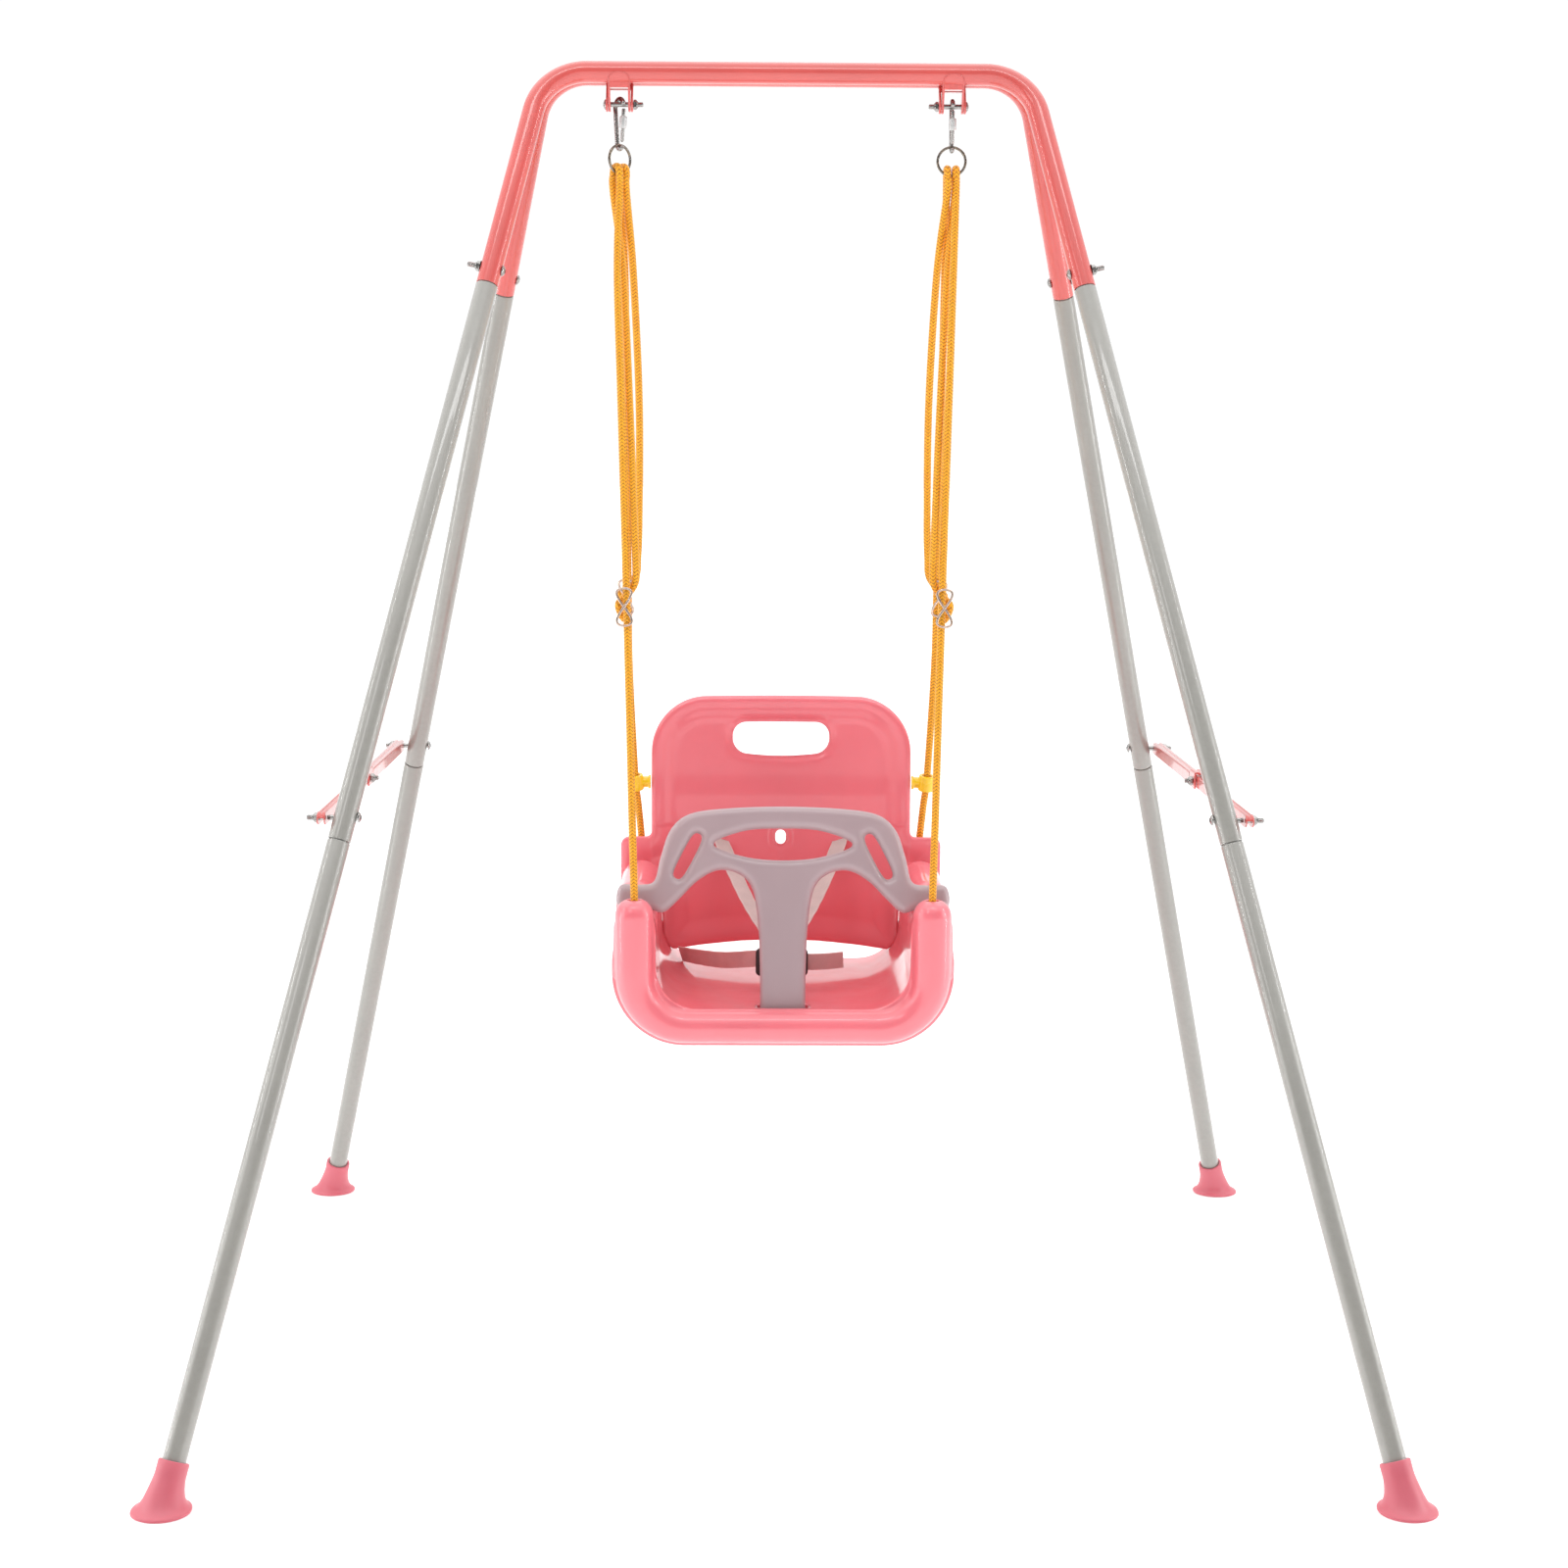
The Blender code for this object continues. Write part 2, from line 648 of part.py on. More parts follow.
def loop_over_ring(side, place_along, rear_first):
    """Points over the ring's wire, from the strand that comes first to the other."""
    sign = 1 if rear_first else -1
    shift = -place_along * tan(RING_TURN[side] - HOOK_TURN[side])
    half = [(1, -0.0288), (1, -0.0088), (0.72, -0.002)]
    rises = [*half, (0, 0), *[(-k, rise) for k, rise in reversed(half)]]
    return [
        hanger_point(side, place_along, sign * k * STRAND + shift, LOOP_TOP + rise)
        for k, rise in rises
    ]


def rope(name, route):
    wire(name, smooth_path(route, 2), ROPE_RADIUS, 2, ROPE_YELLOW)


def adjuster(name, centre, along_rope, facing):
    """A figure-8 of steel wire that the rope's end is tucked through."""
    up = Vector(along_rope).normalized()
    across = up.cross(Vector(facing)).normalized()
    half_height, half_width, wire_radius = 0.0118, 0.0085, 0.0015
    overlap = 0.0004
    oval = arc((0, 0), 1, 0, 2 * pi, 12)[:-1]
    loops = []
    for label, shift in (("upper", half_height + overlap), ("lower", -half_height - overlap)):
        points = [centre + up * (shift + half_height * v) + across * (half_width * u) for u, v in oval]
        loops.append(as_mesh(wire(f"{name}_{label}", points, wire_radius, 1, STEEL, cyclic=True)))
    made, other = loops
    made.name = name
    fuse(made, other)


def ropes():
    for side_name, side in SIDES.items():
        rope(f"rope_front_{side_name}", front_rope_route(side))
        rope(f"rope_rear_{side_name}", rear_rope_route(side))
        front_run = (side * 0.02, sin(GUARD_LEAN), cos(GUARD_LEAN))
        front_y = -STRAND - (STRAND_TOP - ADJUSTER_HEIGHT) * ROPE_SLOPE - ADJUSTER_OFFSET
        front = Vector((side * 0.1845, front_y, ADJUSTER_HEIGHT))
        adjuster(f"adjuster_front_{side_name}", front, front_run, (0, -1, ROPE_SLOPE))
        rear = Vector((side * 0.1900, 0.0822 - ADJUSTER_OFFSET, ADJUSTER_HEIGHT))
        adjuster(f"adjuster_rear_{side_name}", rear, (0, -REAR_SLOPE, 1), (0, -1, -REAR_SLOPE))


# ---------------------------------------------------------------- seat
INNER_HALF = POST_X - POST_RADIUS
OUTER_HALF = POST_X + POST_RADIUS


def seat_section(ridge):
    """Half section (x, z) of the seat's skin, from the middle of the floor out over the side."""
    corner = 0.050
    points = [(0, FLOOR_HEIGHT), (INNER_HALF - corner, FLOOR_HEIGHT)]
    points += arc((INNER_HALF - corner, FLOOR_HEIGHT + corner), corner, -pi / 2, 0, 4)[1:]
    crown = 0.0205
    points += arc((POST_X, ridge - crown), crown, pi, 0, 6)
    points += [(OUTER_HALF + 0.001, 0.470), (OUTER_HALF + 0.004, 0.462)]
    return points


def seat_rim():
    """The rounded front rim: two domed posts joined by a bend and the front lip."""
    bend = 0.0605
    low = FLOOR_HEIGHT - RIM_RADIUS
    path = [(POST_X, POST_TOP - 0.0005, 0.009), (POST_X, POST_TOP - 0.004, 0.0165)]
    path += [(POST_X, POST_TOP - 0.011, 0.0212), (POST_X, POST_TOP - 0.022, POST_RADIUS)]
    for i in range(6):
        angle = -pi / 2 * i / 5
        radius = POST_RADIUS + (RIM_RADIUS - POST_RADIUS) * i / 5
        path.append((POST_X - bend + bend * cos(angle), low + bend + bend * sin(angle), radius))
    path += [(-x, z, radius) for x, z, radius in reversed(path)]
    rings = []
    for i, (x, z, radius) in enumerate(path):
        before = path[max(i - 1, 0)]
        after = path[min(i + 1, len(path) - 1)]
        run = Vector((after[0] - before[0], 0, after[1] - before[1])).normalized()
        side = Vector((-run.z, 0, run.x))
        depth = Vector((0, 1, 0))
        centre = Vector((x, SEAT_FRONT, z))
        circle = arc((0, 0), radius, 0, 2 * pi, 14)[:-1]
        rings.append([centre + side * u + depth * v for u, v in circle])
    return loft("seat_rim", rings)


def seat_base():
    """Seat shell: floor, side walls with armrests, front rim with its posts, rope holes."""
    arm, saddle, front_wall, rear_wall = 0.560, 0.530, 0.541, 0.498
    heights = [
        (SEAT_FRONT - 0.002, front_wall),
        (-0.122, front_wall),
        (-0.118, saddle),
        (-0.0865, saddle),
        (-0.0825, arm),
        (0.0985, arm),
        (0.1025, rear_wall),
        (SEAT_REAR, rear_wall),
    ]
    rows = []
    for y, ridge in heights:
        half = seat_section(ridge)
        rows.append([(-x, y, z) for x, z in reversed(half)] + [(x, y, z) for x, z in half[1:]])
    seat = sheet("seat_base", rows, SKIN, SEAT_PINK)
    fuse(seat, seat_rim())
    front_run = Vector((0, sin(GUARD_LEAN), cos(GUARD_LEAN)))
    rear_run = Vector((0, -0.11, 1)).normalized()
    for side_name, side in SIDES.items():
        x = side * POST_X
        boss_y = REAR_ROPE_Y + 0.001
        fuse(seat, rod(f"rear_boss_{side_name}", (x, boss_y, 0.452), (x, boss_y, 0.4965), 0.0135, 12))
        top = Vector((x, SEAT_FRONT, POST_TOP))
        low, high = top - front_run * 0.046, top + front_run * 0.02
        front_hole = rod(f"front_hole_{side_name}", low, high, ROPE_HOLE_RADIUS, 10)
        low = Vector((x, REAR_ROPE_Y + 0.005, 0.445))
        rear_hole = rod(f"rear_hole_{side_name}", low, low + rear_run * 0.08, ROPE_HOLE_RADIUS, 10)
        cut(seat, front_hole, rear_hole)
    half_width, half_depth = GUARD_FOOT_HALF + 0.0048, GUARD_HALF_DEPTH + 0.0014
    low = (-half_width, GUARD_FOOT - 0.004, -half_depth)
    high = (half_width, GUARD_FOOT + 0.0435, half_depth)
    slot = block("guard_slot", low, high)
    slot.matrix_world = guard_frame()
    cut(seat, slot)


# ---------------------------------------------------------------- guard bar
GUARD_CENTRE = Vector((0, -0.1000, 0.5500))
GUARD_HALF_DEPTH = 0.010
GUARD_FOOT = -0.1435        # end of its post, in its own frame
GUARD_FOOT_HALF = 0.0262


def guard_frame():
    """The guard's own frame: X across, Y up its plane, Z to its front."""
    turn = Matrix.Rotation(pi / 2 - GUARD_LEAN, 4, "X")
    return Matrix.Translation(GUARD_CENTRE) @ turn


def guard_outline():
    """Right half of the T-shaped bar, from the middle of its top edge to the foot of its post."""
    return [
        (0, 0.105), (0.062, 0.103), (0.108, 0.0965), (0.131, 0.078), (0.1425, 0.046),
        (0.150, 0.018), (0.166, 0.0138), (0.187, 0.0140), (0.1935, 0.004), (0.1930, -0.010),
        (0.182, -0.0140), (0.158, -0.0140), (0.1395, -0.0185), (0.122, -0.004), (0.100, 0.0180),
        (0.076, 0.0305), (0.052, 0.0265), (0.036, 0.0090), (0.0292, -0.030), (0.0268, -0.080),
    ]


def closed_spline(curve, points, square=()):
    """A closed Bezier spline through points, smooth except at the ones listed as square."""
    spline = curve.splines.new("BEZIER")
    spline.bezier_points.add(len(points) - 1)
    for i, (slot, (u, v)) in enumerate(zip(spline.bezier_points, points)):
        slot.co = (u, v, 0)
        kind = "VECTOR" if i in square else "AUTO"
        slot.handle_left_type = kind
        slot.handle_right_type = kind
    spline.use_cyclic_u = True


def guard():
    """T-shaped guard bar: it rests in the side walls' saddles and its post stands in the seat."""
    curve = bpy.data.curves.new("guard_bar", "CURVE")
    curve.dimensions = "2D"
    curve.fill_mode = "BOTH"
    curve.extrude = GUARD_HALF_DEPTH
    curve.resolution_u = 3
    right = [*guard_outline(), (GUARD_FOOT_HALF, GUARD_FOOT)]
    outline = right + [(-u, v) for u, v in reversed(right[1:])]
    post_corners = range(len(right) - 2, len(right) + 2)
    closed_spline(curve, outline, post_corners)
    lens = [(0.0815, 0.061), (0.045, 0.0765), (0, 0.0793), (-0.045, 0.0765)]
    lens += [(-0.0815, 0.061), (-0.045, 0.0465), (0, 0.0423), (0.045, 0.0465)]
    closed_spline(curve, lens)
    start, end = Vector((0.098, 0.073)), Vector((0.1247, 0.021))
    run = (end - start).normalized()
    normal = Vector((-run.y, run.x)) * 0.0064
    shoulder = run * 0.008
    for side in SIDES.values():
        slot = [start, start + shoulder + normal, end - shoulder + normal, end]
        slot += [end - shoulder - normal, start + shoulder - normal]
        closed_spline(curve, [(side * p.x, p.y) for p in slot])
    made = place("guard_bar", curve, GUARD_GREY)
    made.matrix_world = guard_frame()


# ---------------------------------------------------------------- backrest
BACK_HALF = 0.1607
WING_HALF = 0.199
BACK_TOP = 0.7595
BACK_SKIN = 0.010


def back_depth(x, z):
    """Y of the backrest's middle surface: curved in plan, leaning slightly back."""
    share = min(abs(x) / BACK_HALF, 1.0)
    return 0.1500 - 0.0285 * share**2 + max(z - 0.60, 0) * 0.055


def backrest():
    """Curved back panel with side wings, a handle slot, and slots for the shoulder straps."""
    corner = 0.067
    edge = [(0.131, 0.4425), (0.1365, 0.448), (0.1425, 0.460), (0.1445, 0.5015)]
    edge += [(0.190, 0.5025), (WING_HALF, 0.510), (WING_HALF, 0.572), (0.1955, 0.582)]
    edge += [(0.187, 0.5865), (0.168, 0.5872), (BACK_HALF, 0.592)]
    edge += arc((BACK_HALF - corner, BACK_TOP - corner), corner, 0, pi / 2, 5)
    outline = edge + [(-u, v) for u, v in reversed(edge)] + [(0, 0.451)]
    columns = [0.21 * i / 7 for i in range(-7, 8)]
    rows = [[(x, back_depth(x, z), z) for x in columns] for z in (0.42, 0.60, 0.78)]
    back = sheet("backrest", rows, BACK_SKIN, SEAT_PINK)
    blank = loft("back_outline", [[(u, y, v) for u, v in outline] for y in (0.09, 0.20)])
    boolean(back, blank, "INTERSECT")
    handle = rounded_slot("back_handle", 0.0586, 0.0215, 0.019)
    handle.location = (0, 0.156, 0.7062)
    cut(back, handle)
    hole = rod("back_hole", (0, 0.12, 0.582), (0, 0.18, 0.582), 0.0085, 10)
    cut(back, hole)
    for side_name, side in SIDES.items():
        slot = rounded_slot(f"strap_slot_{side_name}", 0.0125, 0.0035, 0.003)
        slot.location = (side * 0.0726, 0.146, 0.578)
        cut(back, slot)


def rounded_slot(name, half_width, half_height, corner):
    """A cutter: a rounded rectangle in XZ, 60 mm deep along Y about its origin."""
    quarter = arc((half_width - corner, half_height - corner), corner, 0, pi / 2, 4)
    outline = quarter + [(-u, v) for u, v in reversed(quarter)]
    outline += [(-u, -v) for u, v in quarter] + [(u, -v) for u, v in reversed(quarter)]
    return loft(name, [[(u, y, v) for u, v in outline] for y in (-0.03, 0.03)])


SLEEVE_RADIUS = 0.0098


def connector(side_name):
    """Yellow clip: a ring around the rear rope and a bar to the backrest's edge."""
    side = SIDES[side_name]
    centre = Vector((side * CONNECTOR.x, CONNECTOR.y, CONNECTOR.z))
    rope_run = Vector((side * 0.073, -0.180, 1)).normalized()
    name = f"rope_connector_{side_name}"
    half_run = rope_run * SLEEVE_RADIUS
    sleeve = rod(name, centre - half_run, centre + half_run, SLEEVE_RADIUS, 12, CONNECTOR_YELLOW)
    edge_x = BACK_HALF + 0.0026
    low = (min(side * edge_x, centre.x), centre.y - 0.002, centre.z - 0.0065)
    high = (max(side * edge_x, centre.x), centre.y + 0.007, centre.z + 0.0065)
    fuse(sleeve, block(f"{name}_bar", low, high))
    reach = rope_run * 0.03
    cut(sleeve, rod(f"{name}_hole", centre - reach, centre + reach, ROPE_RADIUS + 0.0012, 10))


# ---------------------------------------------------------------- harness
BUCKLE_CENTRE = Vector((0, -0.018, 0.4560))
BUCKLE_HALF = Vector((0.0305, 0.0070, 0.0230))
WEB_WIDTH = 0.020
WEB_THICKNESS = 0.0018


def strap(name, points, width_direction):
    """A flat strap through points, WEB_WIDTH wide along width_direction."""
    points = [Vector(p) for p in points]
    across = Vector(width_direction).normalized() * (WEB_WIDTH / 2)
    rings = []
    for i, point in enumerate(points):
        run = points[min(i + 1, len(points) - 1)] - points[max(i - 1, 0)]
        out = run.cross(across).normalized() * (WEB_THICKNESS / 2)
        inner, outer = point - out, point + out
        rings.append([inner - across, inner + across, outer + across, outer - across])
    return loft(name, rings, WEBBING)


def harness():
    for side_name, side in SIDES.items():
        top = Vector((side * 0.0726, 0.1375, 0.5740))
        end = Vector((side * 0.0150, -0.006, 0.4850))
        run = end - top
        sag = Vector((0, 0, -0.008))
        points = [top, top + run * 0.33 + sag, top + run * 0.66 + sag, end]
        strap(f"shoulder_strap_{side_name}", points, (cos(0.35), 0, side * sin(0.35)))
    waist = [(-0.1330, 0.105, 0.4520), (-0.105, 0.070, 0.4530), (-0.070, 0.028, 0.4480)]
    waist.append((-0.0312, -0.014, 0.4560))
    strap("waist_strap", waist, (0, 0, 1))
    tail = [(0.0312, -0.016, 0.4560), (0.050, -0.013, 0.4530), (0.074, -0.006, 0.4480)]
    strap("strap_tail", tail, (0, 0, 1))
    block("buckle", BUCKLE_CENTRE - BUCKLE_HALF, BUCKLE_CENTRE + BUCKLE_HALF, BUCKLE_BLACK)


# ---------------------------------------------------------------- the whole object
clear_scene()
SWING_SET = collection("toddler_swing_set")
CUTTERS = collection("cutters")

for end_label in ENDS:
    frame(end_label)
    for side_label in SIDES:
        hinge_bracket(end_label, side_label)
hinge_bolts()
for side_label in SIDES:
    brace(side_label)
    hook(side_label)
    hanging_ring(side_label)
    connector(side_label)
ropes()
seat_base()
guard()
backrest()
harness()
for item in SWING_SET.objects:
    if item.type == "MESH":
        item.data.shade_smooth()
        item.data.set_sharp_from_angle(angle=0.6)
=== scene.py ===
"""Looks of the folding toddler swing set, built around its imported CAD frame.

Metres, +Z up, X along the top bar, -Y the front. Every visible piece is made in a finer mesh
on the CAD's own driving dimensions and rides on the CAD body that it belongs to.
"""

from math import atan2, cos, pi, sin, sqrt, tan

import bpy
import numpy as np
from mathutils import Matrix, Vector


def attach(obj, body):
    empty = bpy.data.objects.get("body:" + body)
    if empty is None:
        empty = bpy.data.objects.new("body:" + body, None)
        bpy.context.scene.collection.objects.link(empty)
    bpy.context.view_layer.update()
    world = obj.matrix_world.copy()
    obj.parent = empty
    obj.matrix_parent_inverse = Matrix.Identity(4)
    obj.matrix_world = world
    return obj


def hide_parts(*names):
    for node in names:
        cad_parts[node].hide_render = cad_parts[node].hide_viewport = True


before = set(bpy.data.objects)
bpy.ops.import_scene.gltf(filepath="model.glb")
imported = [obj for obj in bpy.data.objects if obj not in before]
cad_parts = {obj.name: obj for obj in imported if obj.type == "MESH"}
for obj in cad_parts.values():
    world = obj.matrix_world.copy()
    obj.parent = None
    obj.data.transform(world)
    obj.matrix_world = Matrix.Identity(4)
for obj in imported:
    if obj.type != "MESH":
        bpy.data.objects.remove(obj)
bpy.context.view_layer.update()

# ---------------------------------------------------------------- driving dimensions, as in CAD
BAR_HEIGHT = 1.496          # centre line of the two top tubes
TUBE_RADIUS = 0.0125
TUBE_WALL = 0.0012
TUBE_OFFSET = 0.013
LEG_LEAN = 0.3615           # radians, each leg plane from vertical
LEG_SPLAY = 0.2225          # sideways run of a leg for each metre down its plane
CORNER_X = 0.279
BEND_RADIUS = 0.062
UPPER_JOINT = 0.2626        # distances down the leg plane from the bar
JOINT_BOLT = UPPER_JOINT - 0.019
BRACE_PIVOT = 0.878
LOWER_JOINT = 0.9035
COLLAR_TOP = 1.5493
COLLAR_RADIUS = 0.0162
NECK_LENGTH = 0.042
NECK_RADIUS = 0.0105
GAP = 0.0003
LEG_STRETCH = sqrt(1 + LEG_SPLAY**2)
SPLAY_ANGLE = atan2(LEG_SPLAY, 1)
LEG_END = (BAR_HEIGHT - 0.026) / cos(LEG_LEAN)

HINGE_HEIGHT = 1.461
HINGE_X = 0.1925
EAR_RADIUS = 0.0085
SHEET = 0.0025
EAR_GAP = {"front": 0.0102, "rear": 0.0131}
BOLT_RADIUS = 0.003
WASHER_THICKNESS = 0.0009

LINK_X = 0.499
LINK_HALF_WIDTH = 0.0065
TONGUE_HALF_WIDTH = 0.0045
LINK_HALF_HEIGHT = 0.007
LINK_WALL = 0.0015
CAP_HALF_WIDTH = 0.0075
CAP_TOP = 0.0118
HEAD_GAP = 0.0012
PIVOT_Y = TUBE_OFFSET + BRACE_PIVOT * sin(LEG_LEAN)
PIVOT_Z = BAR_HEIGHT - BRACE_PIVOT * cos(LEG_LEAN)

HOOK_WIRE = 0.0027
HOOK_TOP_RADIUS = 0.010
HOOK_END_RADIUS = 0.0055
HOOK_TOP = HINGE_HEIGHT - 0.0036
HOOK_END = HINGE_HEIGHT - 0.0449
HOOK_TURN = {-1: 0.56, 1: 0.0}
RING_TURN = {-1: 0.78, 1: 0.0}
RING_RADIUS = 0.0162
RING_WIRE = 0.0016
RING_HEIGHT = 1.399

ROPE_RADIUS = 0.0045
SEAT_FRONT = -0.142
SEAT_REAR = 0.165
POST_X = 0.1715
POST_RADIUS = 0.0225
RIM_RADIUS = 0.019
POST_TOP = 0.5555
FLOOR_HEIGHT = 0.4235
SKIN = 0.004
MOULDED_VOXEL = 0.0016      # fineness of the seat's and the backrest's skins
REAR_ROPE_Y = 0.148
ROPE_HOLE_RADIUS = 0.0072
ADJUSTER_HEIGHT = 0.8865
LOOP = 0.0050
STRAND = 0.0075
STRAND_TOP = 1.372
LOOP_TOP = RING_HEIGHT - sqrt(RING_RADIUS**2 - LOOP**2) + RING_WIRE + ROPE_RADIUS + 0.0009
ROPE_SLOPE = (-SEAT_FRONT - STRAND) / (STRAND_TOP - POST_TOP)
GUARD_LEAN = atan2(ROPE_SLOPE, 1)
REAR_SLOPE = 0.145          # of the rear ropes at their adjusters
ADJUSTER_OFFSET = 0.0068    # of an adjuster's wire from its rope's centre line
CONNECTOR = Vector((0.1805, 0.1225, 0.6545))
SLEEVE_RADIUS = 0.0098

GUARD_CENTRE = Vector((0, -0.1000, 0.5500))
GUARD_HALF_DEPTH = 0.010
GUARD_FOOT = -0.1435
GUARD_FOOT_HALF = 0.0262
BACK_HALF = 0.1607
WING_HALF = 0.199
BACK_TOP = 0.7595
BACK_SKIN = 0.010
BUCKLE_CENTRE = Vector((0, -0.018, 0.4560))
BUCKLE_HALF = Vector((0.0305, 0.0070, 0.0230))
WEB_WIDTH = 0.020
WEB_THICKNESS = 0.0018

SIDES = {"left": -1, "right": 1}
ENDS = {"front": -1, "rear": 1}
LOOKS = {}


# ---------------------------------------------------------------- camera, light and floor
def linked(name, data):
    """A new object in the scene that carries the data."""
    made = bpy.data.objects.new(name, data)
    bpy.context.scene.collection.objects.link(made)
    return made


def camera():
    """The viewpoint: 3.2 m in front, a little left of the middle, looking slightly down."""
    place = (-0.04438, -3.21835, 1.10343)
    yaw, pitch, roll = 0.014357, -0.134129, 0.005440
    data = bpy.data.cameras.new("camera")
    data.lens = 62.339
    data.sensor_width = 36.0
    data.clip_end = 100.0
    ahead = Vector((sin(yaw) * cos(pitch), cos(yaw) * cos(pitch), sin(pitch)))
    level = Vector((cos(yaw), -sin(yaw), 0))
    above = level.cross(ahead)
    right = level * cos(roll) + above * sin(roll)
    up = above * cos(roll) - level * sin(roll)
    turn = Matrix((right, up, -ahead)).transposed().to_4x4()
    made = linked("camera", data)
    made.matrix_world = Matrix.Translation(place) @ turn
    bpy.context.scene.camera = made


def area_light(name, place, target, width, height, power):
    """A white rectangle of light at place, turned to the target; power in watts."""
    data = bpy.data.lights.new(name, "AREA")
    data.shape = "RECTANGLE"
    data.size = width
    data.size_y = height
    data.energy = power
    turn = (Vector(target) - Vector(place)).to_track_quat("-Z", "Y").to_matrix().to_4x4()
    linked(name, data).matrix_world = Matrix.Translation(place) @ turn


def studio():
    """A white room, dimmer to the front but bright overhead, with soft boxes and two strips."""
    world = bpy.data.worlds.new("studio")
    bpy.context.scene.world = world
    world.use_nodes = True
    tree = world.node_tree
    place = node(tree, "TexCoord").outputs["Generated"]
    parts = node(tree, "SeparateXYZ", {"Vector": place})
    around = mapped(tree, parts.outputs["Y"], -0.60, 0.30, 0.18, 1.06)
    overhead = mapped(tree, parts.outputs["Z"], 0.45, 0.85, 0.0, 0.95)
    level = sums(tree, "ADD", around, overhead)
    tree.links.new(level, tree.nodes["Background"].inputs["Strength"])
    tree.nodes["Background"].inputs["Color"].default_value = (1, 1, 1, 1)
    area_light("key", (-1.5, -2.4, 2.6), (0, 0, 0.7), 0.8, 0.8, 6)
    area_light("over", (0, -1.3, 2.9), (0, 0, 1.0), 2.4, 0.22, 11)
    area_light("side_left", (-2.6, -1.0, 1.3), (0, 0, 0.8), 0.9, 1.6, 9)
    area_light("side_right", (2.7, -0.9, 1.3), (0, 0, 0.8), 0.9, 1.6, 9)
    area_light("strip_left", (-2.2, -0.2, 1.2), (0, 0, 0.9), 0.05, 2.4, 9)
    area_light("strip_right", (2.3, -0.3, 1.2), (0, 0, 0.9), 0.05, 2.4, 9)
    reach, corners, below = 40, 48, 0.0004
    turns = [2 * pi * k / corners for k in range(corners)]
    mesh = bpy.data.meshes.new("floor")
    mesh.from_pydata([(reach * cos(t), reach * sin(t), -below) for t in turns], [], [range(corners)])
    mesh.materials.append(floor_material())
    linked("floor", mesh)
    settings = bpy.context.scene.view_settings
    settings.view_transform = "Standard"
    settings.look = "None"
    settings.exposure = 0.0
    settings.gamma = 1.0


# ---------------------------------------------------------------- node helpers
def feed(tree, made, inputs):
    """Gives a node its inputs, each a value or a socket to link."""
    for key, value in inputs.items():
        if isinstance(value, bpy.types.NodeSocket):
            tree.links.new(value, made.inputs[key])
        else:
            made.inputs[key].default_value = value


def node(tree, kind, inputs=None, **settings):
    """A shader node with its settings and inputs."""
    made = tree.nodes.new("ShaderNode" + kind)
    for key, value in settings.items():
        setattr(made, key, value)
    feed(tree, made, inputs or {})
    return made


def mapped(tree, value, low, high, to_low, to_high):
    """Value clamped to low..high and carried to to_low..to_high."""
    inputs = {"Value": value, "From Min": low, "From Max": high, "To Min": to_low, "To Max": to_high}
    return node(tree, "MapRange", inputs).outputs["Result"]


def sums(tree, operation, first, second=0.0):
    return node(tree, "Math", {0: first, 1: second}, operation=operation).outputs[0]


def blended(tree, factor, first, second):
    """A colour between first and second, each a colour or a socket."""
    sockets = [c if isinstance(c, bpy.types.NodeSocket) else (*c, 1) for c in (first, second)]
    inputs = {0: factor, 6: sockets[0], 7: sockets[1]}      # 6 and 7 are a Mix node's colours
    return node(tree, "Mix", inputs, data_type="RGBA").outputs[2]


def clouds(tree, place, scale, detail=3.0, stretch=None):
    """Noise with features about 1/scale metres across, stretched along an axis if asked."""
    if stretch:
        place = node(tree, "Mapping", {"Vector": place, "Scale": stretch}).outputs[0]
    inputs = {"Vector": place, "Scale": scale, "Detail": detail, "Roughness": 0.55}
    return node(tree, "TexNoise", inputs).outputs[0]


def new_material(name, settings):
    """A material with its shader's settings, its tree, its shader and its object coordinates."""
    made = bpy.data.materials.new(name)
    made.use_nodes = True
    tree = made.node_tree
    shader = tree.nodes["Principled BSDF"]
    feed(tree, shader, settings)
    return made, tree, shader, node(tree, "TexCoord").outputs["Object"]


def patches(tree, place, scale, detail=3.0, low=0.3, high=0.7, least=0.0, most=1.0, stretch=None):
    """Clouds with more contrast: their values low..high become least..most."""
    return mapped(tree, clouds(tree, place, scale, detail, stretch=stretch), low, high, least, most)


def edges(tree, low, high, most):
    """0 on flat stretches, rising to most on sharp outer edges."""
    return mapped(tree, node(tree, "NewGeometry").outputs["Pointiness"], low, high, 0.0, most)


def along_and_across(tree):
    parts = node(tree, "SeparateXYZ", {"Vector": node(tree, "UVMap").outputs[0]})
    return parts.outputs["X"], parts.outputs["Y"]


def bumped(tree, shader, height, strength, distance, below=None):
    """Adds a bump to the shader's normal, on top of an earlier bump if one is given."""
    inputs = {"Height": height, "Strength": strength, "Distance": distance}
    if below:
        inputs["Normal"] = below
    made = node(tree, "Bump", inputs).outputs[0]
    tree.links.new(made, shader.inputs["Normal"])
    return made


def shade(colour, amount):
    """The colour made lighter (amount over 1) or darker (under 1)."""
    return tuple(min(channel * amount, 1.0) for channel in colour)


# ---------------------------------------------------------------- materials
def floor_material():
    settings = {"Roughness": 0.7, "Emission Color": (1, 1, 1, 1), "Emission Strength": 0.28}
    made, tree, shader, place = new_material("studio_floor", settings)
    pale = blended(tree, patches(tree, place, 2.0), (0.90, 0.90, 0.90), (0.93, 0.93, 0.93))
    feed(tree, shader, {"Base Color": pale})
    return made


